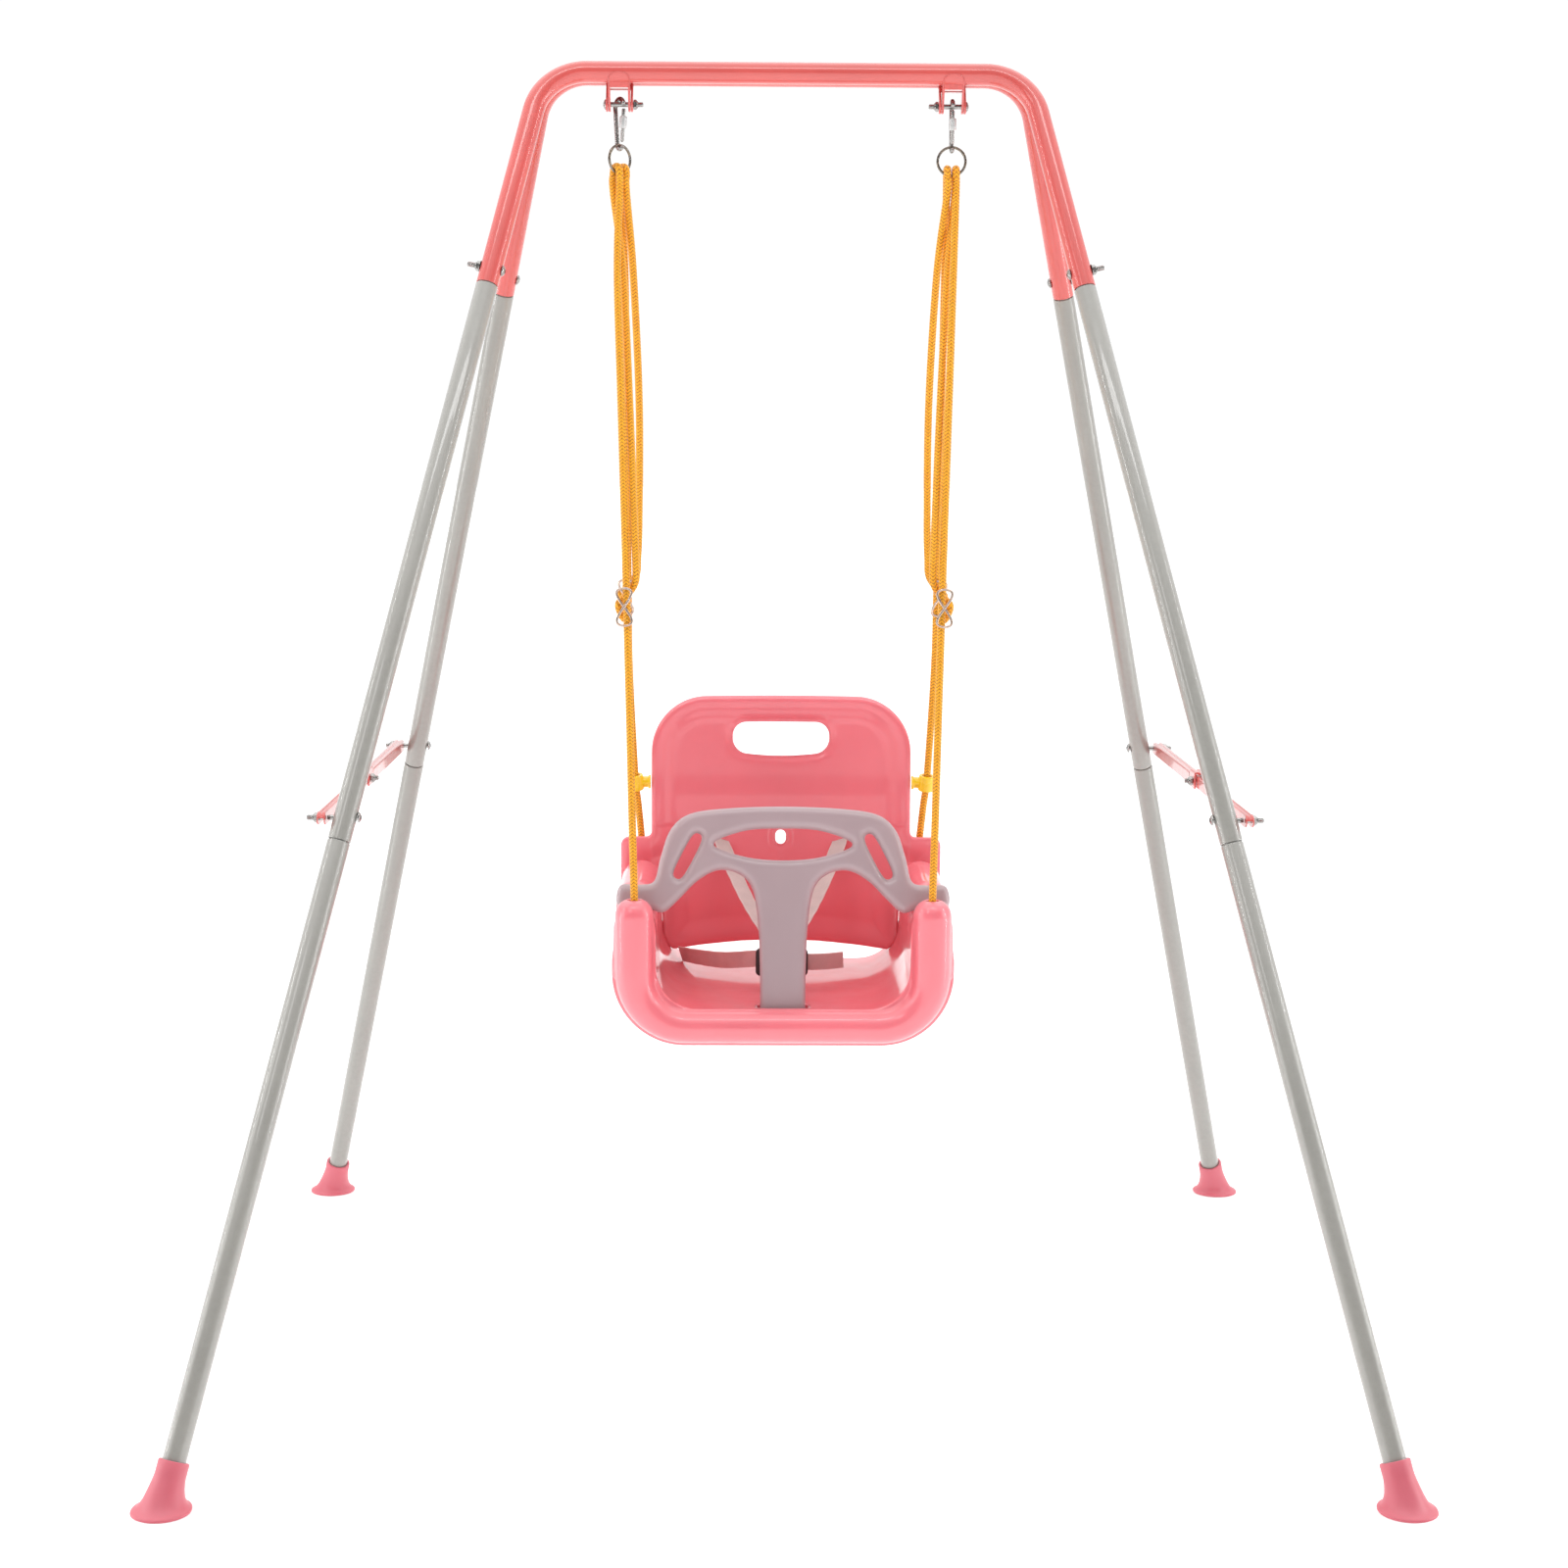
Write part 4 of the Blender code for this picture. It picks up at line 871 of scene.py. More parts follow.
def ropes():
    """The four ropes, each with its adjuster."""
    front_y = -STRAND - (STRAND_TOP - ADJUSTER_HEIGHT) * ROPE_SLOPE - ADJUSTER_OFFSET
    for side_name, side in SIDES.items():
        front_run = (side * 0.02, sin(GUARD_LEAN), cos(GUARD_LEAN))
        front = Vector((side * 0.1845, front_y, ADJUSTER_HEIGHT))
        rear = Vector((side * 0.1900, 0.0822 - ADJUSTER_OFFSET, ADJUSTER_HEIGHT))
        sets = (
            ("front", front_rope_route(side), front, front_run, (0, -1, ROPE_SLOPE)),
            ("rear", rear_rope_route(side), rear, (0, -REAR_SLOPE, 1), (0, -1, -REAR_SLOPE)),
        )
        for end_name, route, spot, run, facing in sets:
            tag = f"{end_name}_{side_name}"
            mesh = adjuster_mesh(f"adjuster_{tag}_wire", spot, run, facing)
            clip = piece(f"adjuster_{tag}_wire", mesh, "adjuster_steel", "swing", f"adjuster_{tag}")
            centres = spaced(smooth_path(route, 24), 0.0007)
            mesh = rope_mesh(f"rope_{tag}_braid", centres)
            rope = piece(f"rope_{tag}_braid", mesh, "rope_yellow", "swing", f"rope_{tag}", sharp=3.2)


# ---------------------------------------------------------------- frame
def leg_point(side, end, down):
    return Vector((
        side * (CORNER_X + down * LEG_SPLAY),
        end * (TUBE_OFFSET + down * sin(LEG_LEAN)),
        BAR_HEIGHT - down * cos(LEG_LEAN),
    ))


def leg_up(side, end):
    return (leg_point(side, end, 0) - leg_point(side, end, 1)).normalized()


def joint_bolt_axis(side, end):
    down = Vector((0, end * sin(LEG_LEAN), -cos(LEG_LEAN)))
    return (Vector((side, 0, 0)) * cos(SPLAY_ANGLE) - down * sin(SPLAY_ANGLE)).normalized()


def top_tube(end_name):
    """The tube along the top, bent down at both ends to the leg joints."""
    end = ENDS[end_name]
    swept_angle = pi / 2 - SPLAY_ANGLE
    bend_x = CORNER_X - BEND_RADIUS * tan(swept_angle / 2)
    half = [(CORNER_X + UPPER_JOINT * LEG_SPLAY, UPPER_JOINT)]
    half += arc((bend_x, BEND_RADIUS), BEND_RADIUS, swept_angle - pi / 2, -pi / 2, 20)
    outline = half + [(-u, v) for u, v in reversed(half)]
    points = [
        (u, end * (TUBE_OFFSET + v * sin(LEG_LEAN)), BAR_HEIGHT - v * cos(LEG_LEAN))
        for u, v in outline
    ]
    name = f"{end_name}_top_tube_coated"
    mesh = pipe(name, points, TUBE_RADIUS, TUBE_WALL, 40)
    piece(name, mesh, "frame_pink", f"{end_name}_frame", f"{end_name}_top_tube")


def leg_tube(node_name, side, end, top, bottom):
    """A leg tube with eased ends and a swaged neck above."""
    length = (bottom - top) * LEG_STRETCH
    bore, neck_bore = TUBE_RADIUS - TUBE_WALL, NECK_RADIUS - TUBE_WALL
    profile = [
        (bore, -length), (TUBE_RADIUS - 0.0004, -length), (TUBE_RADIUS, -length + 0.0005),
        (TUBE_RADIUS, -0.0018), (TUBE_RADIUS - 0.0003, -0.0011), (TUBE_RADIUS - 0.0009, -0.0008),
        (NECK_RADIUS, -0.0006), (NECK_RADIUS, NECK_LENGTH), (neck_bore, NECK_LENGTH),
        (neck_bore, -0.001), (bore, -0.004),
    ]
    mesh = turned(f"{node_name}_coated", profile, 40, closed=True)
    mesh.transform(along(leg_point(side, end, top), leg_up(side, end)))
    piece(f"{node_name}_coated", mesh, "leg_grey", body_of(end), node_name)


def foot(node_name, side, end):
    """A moulded foot: a disc with a rolled rim that sweeps up into the collar round the leg."""
    base = leg_point(side, end, BAR_HEIGHT / cos(LEG_LEAN))
    up = leg_up(side, end)
    top = (leg_point(side, end, COLLAR_TOP) - base).length
    outside = [
        (0.0300, 0.0), (0.0308, 0.0004), (0.0310, 0.0014), (0.0308, 0.0026), (0.0298, 0.0036),
        (0.0284, 0.0044), (0.0262, 0.0062), (0.0240, 0.0088), (0.0220, 0.0122), (0.0203, 0.0165),
        (0.0188, 0.0215), (0.0177, 0.0262), (0.0170, 0.0300), (0.0165, 0.0335),
        (COLLAR_RADIUS, 0.0365), (COLLAR_RADIUS, top - 0.0012), (COLLAR_RADIUS - 0.0004, top - 0.0003),
        (COLLAR_RADIUS - 0.0010, top), (TUBE_RADIUS + 0.0009, top), (TUBE_RADIUS + 0.0005, top - 0.0006),
        (TUBE_RADIUS + 0.0005, 0.0200),
    ]
    rows = []
    ring = circle(1.0, 56)
    for radius, height in outside:
        tilt = float(smoothstep(height, 0.004, 0.030))
        normal = Vector((0, 0, 1)).lerp(up, tilt).normalized()
        u = Vector((1, 0, 0)) - normal * normal.x
        u.normalize()
        v = normal.cross(u)
        centre = base + up * (height / (1 if tilt else up.z))
        rows.append([centre + u * (radius * a) + v * (radius * b) for a, b in ring])
    mesh = lattice(f"{node_name}_moulded", rows, capped=True)
    piece(f"{node_name}_moulded", mesh, "foot_pink", body_of(end), node_name)


# ---------------------------------------------------------------- bolts
def hexagon(apothem):
    """Angles round a hexagon, and its reach at each of them."""
    angles = np.arange(48) * 2 * pi / 48
    reach = apothem / np.cos((angles + pi / 6) % (pi / 3) - pi / 6)
    return angles, reach


def nut_mesh(name, apothem, height, collar):
    """A hexagonal lock nut with chamfered corners and a round collar on its far side."""
    angles, reach = hexagon(apothem)
    rows = []
    for level in (0.0, 0.0004, 0.0009, height - 0.0009, height - 0.0004, height):
        chamfered = apothem + min(level, height - level) * 1.9
        rows.append(level_ring(angles, np.minimum(reach, chamfered), level))
    top = [
        (apothem * 0.86, height), (apothem * 0.84, height + collar * 0.7),
        (apothem * 0.74, height + collar), (BOLT_RADIUS * 0.98, height + collar),
    ]
    rows += [level_ring(angles, radius, level) for radius, level in top]
    return lattice(name, rows, capped=True)


def thread_mesh(name, low, high):
    """The threaded shank from low to high, as a true helix, with a chamfered tip."""
    sides, depth, pitch = 24, 0.00036, 0.0010
    levels = np.arange(low, high, pitch / 6)
    angles = np.arange(sides) * 2 * pi / sides
    rows = []
    for level in [*levels, high]:
        phase = (level / pitch - angles / (2 * pi)) % 1
        radius = BOLT_RADIUS - depth * np.abs(2 * phase - 1)
        radius -= max(0.0, level - (high - 0.0008)) * 0.9
        rows.append(level_ring(angles, radius, level))
    return lattice(name, rows, capped=True)


def washer_mesh(name, radius):
    bore = BOLT_RADIUS + 0.0002
    outline = [(bore, 0), (radius, 0), (radius, WASHER_THICKNESS), (bore, WASHER_THICKNESS)]
    return turned(name, eased(outline, 0.00025), 40, closed=True)


def head_mesh(name, radius, rise):
    """A domed head below the origin, with a hexagonal key socket."""
    angles, reach = hexagon(radius * 0.36)
    rows = [level_ring(angles, reach, level) for level in (-rise * 0.35, -rise * 0.985)]
    dome = [(radius * sin(a), -rise * cos(a)) for a in (0.46, 0.65, 0.85, 1.05, 1.22, 1.36, 1.48)]
    dome += [(radius, -0.0002), (radius - 0.0002, 0.0), (BOLT_RADIUS, 0.0), (BOLT_RADIUS, 0.0006)]
    rows += [level_ring(angles, across, level) for across, level in dome]
    return lattice(name, rows, capped=True)


def bolt(node_name, body, start, tip, head=(0.0060, 0.0032), nut_back=0.0, washer=0.0):
    """A bolt from under its head to the tip. nut_back is how far its nut sits short of the tip."""
    run = Vector(tip) - Vector(start)
    length = run.length
    here = Matrix.Identity(4)
    apothem, nut_height, collar = 0.0050, 0.0050, 0.0014
    nut_start = length - nut_back - nut_height if nut_back else length
    thread_from = max(nut_start - 0.0015 if nut_back else length - 0.004, 0.0004)
    shank = [(BOLT_RADIUS * 0.97, 0.0001), (BOLT_RADIUS * 0.97, thread_from + 0.0003)]
    parts = [(head_mesh("head", *head), here)] if head else []
    parts.append((turned("shank", shank, 24), here))
    parts.append((thread_mesh("thread", thread_from, length), here))
    if nut_back:
        nut = nut_mesh("nut", apothem, nut_height - collar, collar)
        parts.append((nut, Matrix.Translation((0, 0, nut_start))))
    mesh = joined(f"{node_name}_detailed", parts)
    mesh.transform(along(start, run))
    piece(f"{node_name}_detailed", mesh, "steel", body, node_name)
    if washer:
        disc = washer_mesh(f"{node_name}_washer", washer)
        disc.transform(along(Vector(start) + run.normalized() * (nut_start - WASHER_THICKNESS), run))
        piece(f"{node_name}_washer", disc, "steel", body)


def frame_side(end_name, side_name):
    end, side = ENDS[end_name], SIDES[side_name]
    tag, body = f"{end_name}_{side_name}", f"{end_name}_frame"
    leg_tube(f"upper_leg_{tag}", side, end, UPPER_JOINT + GAP, LOWER_JOINT - GAP)
    leg_tube(f"lower_leg_{tag}", side, end, LOWER_JOINT + GAP, LEG_END)
    foot(f"foot_{tag}", side, end)
    centre = leg_point(side, end, JOINT_BOLT)
    axis = joint_bolt_axis(side, end)
    start = centre - axis * (TUBE_RADIUS + GAP)
    bolt(f"leg_joint_bolt_{tag}", body, start, centre + axis * 0.0275, nut_back=0.009, washer=0.0066)


# ---------------------------------------------------------------- hinge brackets
def hinge_bracket(end_name, side_name):
    """Two sheet ears, the web between them, and the saddle that is welded to the tube."""
    end, side = ENDS[end_name], SIDES[side_name]
    inner = EAR_GAP[end_name]
    outer = inner + SHEET
    rise = BAR_HEIGHT - HINGE_HEIGHT
    saddle_end = 0.95
    lower = arc((0, 0), EAR_RADIUS, -pi, 0, 16)
    upper = arc((end * TUBE_OFFSET, rise), TUBE_RADIUS + GAP, -saddle_end, saddle_end - pi, 12)
    outline = lower + upper
    centre = Vector((side * HINGE_X, 0, HINGE_HEIGHT))
    here = Matrix.Translation(centre)
    parts = []
    for low, high in ((-outer, -inner), (inner, outer)):
        parts.append((prism("ear", outline, low, high, ease=0.0005), here))
    web_low = 0.0172
    left, right = upper[-1], upper[0]
    web = [(left[0] + 0.0008, web_low), (right[0] - 0.0008, web_low)] + upper
    parts.append((prism("web", web, -inner - 0.0006, inner + 0.0006), here))
    tag, body = f"{end_name}_{side_name}", f"{end_name}_frame"
    name = f"hinge_bracket_{tag}_pressed"
    piece(name, joined(name, parts), "frame_pink", body, f"hinge_bracket_{tag}")
    saddle(f"hinge_saddle_{tag}", body, side, end, outer)


def saddle_half(half_width, share):
    """Half width of the saddle: tapering upwards to a rounded top."""
    return half_width * (1 - 0.25 * share) * sqrt(max(1 - max(share - 0.55, 0) ** 2 / 0.45**2, 0.02))


def saddle(name, body, side, end, half_width):
    """The tab bent round the outside of the tube, narrower towards its top, with its weld bead."""
    bottom, top = -1.15, -0.08      # angles round the tube, from level
    steps = 14
    outside = TUBE_RADIUS + 0.0014

    def on_tube(x, radius, angle):
        y = end * (TUBE_OFFSET + radius * cos(angle))
        return side * HINGE_X + x, y, BAR_HEIGHT + radius * sin(angle)

    rows = []
    for i in range(steps + 1):
        angle = bottom + (top - bottom) * (i / steps)
        half = saddle_half(half_width, i / steps)
        section = [(-half, TUBE_RADIUS), (-half + 0.0004, outside)]
        section += [(-x, radius) for x, radius in reversed(section)]
        ring = [on_tube(x, radius, angle) for x, radius in section]
        rows.append(ring if end > 0 else ring[::-1])
    piece(name, lattice(name, rows, capped=True), "frame_pink", body)
    bead = []
    for k in range(61):
        share = k / 60
        angle = bottom + 0.1 + (top - bottom - 0.1) * min(share, 1 - share) * 2
        half = saddle_half(half_width, (angle - bottom) / (top - bottom))
        bead.append(on_tube(half if share < 0.5 else -half, TUBE_RADIUS + 0.0003, angle))
    bead = spaced(bead, 0.0004)
    lumps = 0.0008 + 0.00022 * np.sin(np.arange(len(bead)) * 1.15)
    rings = circle(1.0, 10)[None] * lumps[:, None, None]
    piece(f"{name}_weld", swept(f"{name}_weld", bead, rings), "frame_pink", body, sharp=3.2)


def hinge_bolts():
    for side_name, side in SIDES.items():
        reach = EAR_GAP["rear"] + SHEET + GAP
        start = (side * (HINGE_X + reach), 0, HINGE_HEIGHT)
        tip = (side * (HINGE_X - reach - 0.0115), 0, HINGE_HEIGHT)
        name = f"hinge_bolt_{side_name}"
        bolt(name, "front_frame", start, tip, head=(0.0060, 0.0030), nut_back=0.0062)
        for label, x in (("outer", HINGE_X + reach - 0.0001), ("inner", HINGE_X - reach + 0.0010)):
            disc = washer_mesh(f"{name}_{label}_washer", 0.0072)
            disc.transform(along((side * x, 0, HINGE_HEIGHT), (-side, 0, 0)))
            piece(f"{name}_{label}_washer", disc, "frame_pink", "front_frame")


# ---------------------------------------------------------------- braces
def channel(x, y, half_width, low, high, squeeze=1.0):
    """A section of a pressed link: an inverted channel with round shoulders and a crease on top."""
    crease, shoulder = 0.0012, min(0.0026, half_width * 0.4)
    corner, level = half_width - shoulder, high - shoulder
    outer = [(-half_width, low), *arc((-corner, level), shoulder, pi, pi / 2, 5)]
    outer += [(-0.0019, high), (-0.0008, high - crease * 0.75), (0, high - crease)]
    outer += [(0.0008, high - crease * 0.75), (0.0019, high)]
    outer += [*arc((corner, level), shoulder, pi / 2, 0, 5), (half_width, low)]
    wall = LINK_WALL
    inner = [(half_width - wall, low), *arc((corner, level), shoulder - wall, 0, pi / 2, 4)]
    inner += [(0, high - crease - wall * 0.9)]
    inner += [*arc((-corner, level), shoulder - wall, pi / 2, pi, 4), (-half_width + wall, low)]
    return [(x + u, y, PIVOT_Z + v * squeeze) for u, v in (outer + inner)[::-1]]


def link_stations(first, last):
    """Stations from first to last, with the section squeezed to a round at both ends."""
    direction = 1 if last > first else -1
    half = LINK_HALF_HEIGHT
    rounds = []
    for k in range(7):
        reach = half * (1 - cos(pi / 2 * k / 6))
        rounds.append((reach, max(sin(pi / 2 * k / 6), 0.16)))
    made = [(first + direction * reach, squeeze) for reach, squeeze in rounds]
    made += [(last - direction * reach, squeeze) for reach, squeeze in reversed(rounds)]
    return made


def brace_rear_link(side_name):
    """The link from the rear leg, spread at the middle pivot into a cap over the front link."""
    x, half = SIDES[side_name] * LINK_X, LINK_HALF_HEIGHT
    rows = []
    middle_end = -0.012
    for y, squeeze in link_stations(PIVOT_Y + 0.009, middle_end):
        if y > 0.04:        # the cap takes over before the middle end
            rows.append(channel(x, y, LINK_HALF_WIDTH, -half, half, squeeze))
    for y in np.linspace(0.036, 0.018, 10):
        spread = float(1 - smoothstep(y, 0.020, 0.036))
        width = LINK_HALF_WIDTH + (CAP_HALF_WIDTH - LINK_HALF_WIDTH) * spread
        rows.append(channel(x, y, width, -half - 0.0012 * spread, half + (CAP_TOP - half) * spread))
    for y in (0.010, 0.0, -0.006, middle_end + 0.0006, middle_end):
        lip = 0.0006 if y == middle_end else 0.0
        rows.append(channel(x, y, CAP_HALF_WIDTH - lip, -half - 0.0012 + lip, CAP_TOP - lip))
    node_name = f"brace_rear_link_{side_name}"
    mesh = lattice(f"{node_name}_pressed", rows, capped=True)
    piece(f"{node_name}_pressed", mesh, "frame_pink", f"brace_rear_{side_name}", node_name)


def brace_front_link(side_name):
    x, half = SIDES[side_name] * LINK_X, LINK_HALF_HEIGHT
    rows = [
        channel(x, y, TONGUE_HALF_WIDTH, -half, half, squeeze)
        for y, squeeze in link_stations(0.007, -PIVOT_Y - 0.012)
    ]
    node_name = f"brace_front_link_{side_name}"
    mesh = lattice(f"{node_name}_pressed", rows, capped=True)
    piece(f"{node_name}_pressed", mesh, "frame_pink", f"brace_front_{side_name}", node_name)


def brace_bolts(side_name):
    side = SIDES[side_name]

    def across(y, x):
        return Vector((side * x, y, PIVOT_Z))

    leg_centre = CORNER_X + BRACE_PIVOT * LEG_SPLAY
    head_x = leg_centre - TUBE_RADIUS / cos(SPLAY_ANGLE) - HEAD_GAP
    cap, link, tongue = CAP_HALF_WIDTH + GAP, LINK_HALF_WIDTH + GAP, TONGUE_HALF_WIDTH
    bolt(f"brace_rear_bolt_{side_name}", "rear_frame", across(PIVOT_Y, head_x),
         across(PIVOT_Y, LINK_X + link + 0.010), nut_back=0.0045, washer=0.0064)
    bolt(f"brace_middle_bolt_{side_name}", f"brace_rear_{side_name}", across(0, LINK_X + cap),
         across(0, LINK_X - cap - 0.0095), nut_back=0.004)
    bolt(f"brace_front_bolt_{side_name}", "front_frame", across(-PIVOT_Y, head_x),
         across(-PIVOT_Y, LINK_X - tongue - 0.0008))
    bolt(f"brace_front_nut_{side_name}", f"brace_front_{side_name}",
         across(-PIVOT_Y, LINK_X - tongue + GAP), across(-PIVOT_Y, LINK_X + tongue + GAP + 0.012),
         head=None, nut_back=0.0070, washer=0.0070)


# ---------------------------------------------------------------- hooks and rings
def hook_body(side_name):
    """The bent wire of the snap hook, open on the gate's side."""
    side = SIDES[side_name]
    top_gap, end_gap = 0.25, 0.35       # angles left open at the top and at the end
    upper = arc((0, HOOK_TOP), HOOK_TOP_RADIUS, top_gap, pi, 40)
    lower = arc((0, HOOK_END), HOOK_END_RADIUS, pi, 2 * pi - end_gap, 32)
    points = spaced([hanger_point(side, 0, -u, v) for u, v in upper + lower], 0.0006)
    name = f"hook_body_{side_name}_forged"
    piece(name, wire_mesh(name, points, HOOK_WIRE, 20), "steel", "swing", f"hook_body_{side_name}")


def hook_gate(side_name):
    """The gate, and the knurled screw sleeve on it."""
    side = SIDES[side_name]
    pivot = hanger_point(side, 0, -HOOK_END_RADIUS - 0.0004, HOOK_END + 0.0042)
    tip = hanger_point(side, 0, -HOOK_TOP_RADIUS + 0.0003, HOOK_TOP - 0.0016)
    length = (tip - pivot).length
    stem, sleeve = 0.0022, 0.0042
    low, high = length * 0.38, length * 0.76
    profile = [
        (0.0008, -0.0021), (0.0016, -0.0014), (stem, -0.0002), (stem, low), (stem, high),
        (stem, length - 0.0012), (stem * 0.92, length - 0.0004), (stem * 0.6, length),
    ]
    matrix = along(pivot, tip - pivot)
    gate = f"hook_gate_{side_name}_sprung"
    mesh = turned(gate, profile, 24)
    mesh.transform(matrix)
    piece(gate, mesh, "steel", f"hook_gate_{side_name}", f"hook_gate_{side_name}")
    angles = np.arange(72) * 2 * pi / 72
    ridges = 0.00016 * np.cos(angles * 18)
    rows = []
    rounding = [(0.0, 0.72), (0.02, 0.90), (0.06, 0.98), (0.10, 1.0)]
    for share, lift in rounding + [(1 - share, lift) for share, lift in reversed(rounding)]:
        level = low + (high - low) * share
        radius = sleeve * lift + ridges * (1.0 if 0.08 < share < 0.92 else 0.0)
        rows.append(level_ring(angles, radius, level))
    mesh = lattice(f"hook_sleeve_{side_name}", rows, capped=True)
    mesh.transform(matrix)
    piece(f"hook_sleeve_{side_name}", mesh, "sleeve_steel", f"hook_gate_{side_name}")


def hanging_ring(side_name):
    """The welded ring, with the swelling of its weld at one side."""
    side = SIDES[side_name]
    turns = [2 * pi * k / 96 for k in range(96)]
    points = [
        hanger_point(side, RING_RADIUS * cos(t), 0, RING_HEIGHT + RING_RADIUS * sin(t), RING_TURN)
        for t in turns
    ]
    swell = [RING_WIRE + 0.00035 * max(0.0, 1 - abs(t - 0.6) / 0.09) for t in turns]
    rings = circle(1.0, 20)[None] * np.array(swell)[:, None, None]
    name = f"ring_{side_name}_welded"
    piece(name, swept(name, points, rings, closed=True), "ring_steel", "swing", f"ring_{side_name}")


# ---------------------------------------------------------------- seat
def ridge_height(y):
    """Height of the side walls' ridge: front wall, saddle for the guard, domed armrest, rear wall."""
    front_wall, saddle_height, arm, rear_wall = 0.541, 0.530, 0.560, 0.498
    start, end, dome = -0.0850, 0.1010, 0.024
    height = front_wall + (saddle_height - front_wall) * smoothstep(y, -0.122, -0.116)
    into = np.clip(np.minimum(y - start, end - y), 0, dome)
    crown = arm - 0.016 * (1 - np.sqrt(1 - (1 - into / dome) ** 2))
    inside = smoothstep(y, start - 0.001, start + 0.002)
    height = height * (1 - inside) + crown * inside
    behind = smoothstep(y, end - 0.002, end + 0.003)
    return height * (1 - behind) + rear_wall * behind


def seat_section(ridge):
    """Right half of the seat's skin: floor, side wall up to the ridge, and down outside it."""
    inner_half = POST_X - POST_RADIUS
    corner, crown = 0.050, 0.0205
    flat, wall_low, wall_high = inner_half - corner, FLOOR_HEIGHT + corner, ridge - crown
    points = [(flat * k / 14, FLOOR_HEIGHT) for k in range(14)]
    points += arc((flat, wall_low), corner, -pi / 2, 0, 14)
    points += [(inner_half, wall_low + (wall_high - wall_low) * k / 8) for k in range(1, 8)]
    points += arc((POST_X, ridge - crown), POST_X - inner_half - 0.0005, pi, 0, 14)
    outer = POST_X + POST_RADIUS - 0.0005
    low = 0.470
    points += [(outer + 0.001 * k / 8, wall_high + (low - wall_high) * k / 8) for k in range(1, 9)]
    points += [(outer + 0.0018, 0.4660), (outer + 0.0030, 0.4625)]
    return points


def seat_shell():
    stations = np.linspace(SEAT_FRONT - 0.002, SEAT_REAR, 112)
    rows = []
    for y in stations:
        half = seat_section(float(ridge_height(y)))
        sag = -0.0030 * (1 - ((y - 0.02) / 0.16) ** 2)
        ring = []
        for x, z in [(-u, v) for u, v in reversed(half[1:])] + half:
            dish = sag * max(0.0, 1 - (x / 0.11) ** 2)
            ring.append((x, y, z + dish))
        rows.append(ring)
    verts = np.array(rows)
    count, sides = verts.shape[:2]
    index = np.arange(count * sides).reshape(count, sides)
    quads = np.stack([index[:-1, :-1], index[:-1, 1:], index[1:, 1:], index[1:, :-1]], -1).reshape(-1, 4)
    mesh = bpy.data.meshes.new("seat_skin")
    mesh.from_pydata(verts.reshape(-1, 3).tolist(), [], quads.tolist())
    thick = {"thickness": SKIN, "offset": 0, "use_even_offset": True}
    return evaluated("seat_skin", mesh, ("SOLIDIFY", thick))


def rim_path(steps):
    """(x, z, radius) from the middle of the lip to the dome of the right post."""
    bend = 0.0605
    low = FLOOR_HEIGHT - RIM_RADIUS
    path = [(0.0, low, RIM_RADIUS), ((POST_X - bend) / 2, low, RIM_RADIUS)]
    for i in range(steps + 1):
        share = i / steps
        angle = -pi / 2 + pi / 2 * share
        radius = RIM_RADIUS + (POST_RADIUS - RIM_RADIUS) * share
        path.append((POST_X - bend + bend * cos(angle), low + bend + bend * sin(angle), radius))
    return path


def rim_rows(path, shift, section):
    """The section for each (z, radius), set along the rim from the left post to the right one."""
    whole = [(-x, z, radius) for x, z, radius in reversed(path[1:])] + path
    rows = []
    for i, (x, z, radius) in enumerate(whole):
        before, after = whole[max(i - 1, 0)], whole[min(i + 1, len(whole) - 1)]
        run = Vector((after[0] - before[0], 0, after[1] - before[1])).normalized()
        out = Vector((run.z, 0, -run.x))
        centre = Vector((x, SEAT_FRONT + shift, z))
        rows.append([centre + out * u + Vector((0, v, 0)) for u, v in section(z, radius)])
    return rows


def seat_rim():
    path = rim_path(18)
    top, dome = POST_TOP - 0.0005, 0.021
    path.append((POST_X, top - dome - 0.03, POST_RADIUS))
    for k in range(10):
        angle = pi / 2 * k / 10.5
        path.append((POST_X, top - dome + dome * sin(angle), POST_RADIUS * cos(angle) ** 0.8))

    def section(z, radius):
        return [(-u, v) for u, v in circle(radius, 32)[::-1]]

    return lattice("seat_rim", rim_rows(path, 0.0, section), capped=True)


def rim_flange():
    """The parting flange that stands out along the outside of the rim, from side to side."""
    path = rim_path(24)
    path += [(POST_X, z, POST_RADIUS) for z in (0.474, 0.482, 0.490, 0.498, 0.506, 0.514, 0.522)]

    def section(z, radius):
        root, half_width = radius - 0.006, 0.0016
        lip = radius + (0.0042 * (1 - float(smoothstep(z, 0.478, 0.520))) - 0.0004)
        return [
            (root, -half_width), (lip - 0.0010, -half_width), (lip, -half_width + 0.0012),
            (lip, half_width - 0.0006), (lip - 0.0006, half_width), (root, half_width),
        ]

    return lattice("rim_flange", rim_rows(path, 0.0040, section), capped=True)


def guard_matrix():
    turn = Matrix.Rotation(pi / 2 - GUARD_LEAN, 4, "X")
    return Matrix.Translation(GUARD_CENTRE) @ turn


def block_mesh(name, low, high):
    (x0, y0, z0), (x1, y1, z1) = low, high
    rows = [[(x0, y0, z), (x1, y0, z), (x1, y1, z), (x0, y1, z)] for z in (z0, z1)]
    return lattice(name, rows, capped=True)


def rod_mesh(name, start, end, radius):
    run = Vector(end) - Vector(start)
    mesh = turned(name, [(radius, 0), (radius, run.length)], 32)
    mesh.transform(along(start, run))
    return mesh


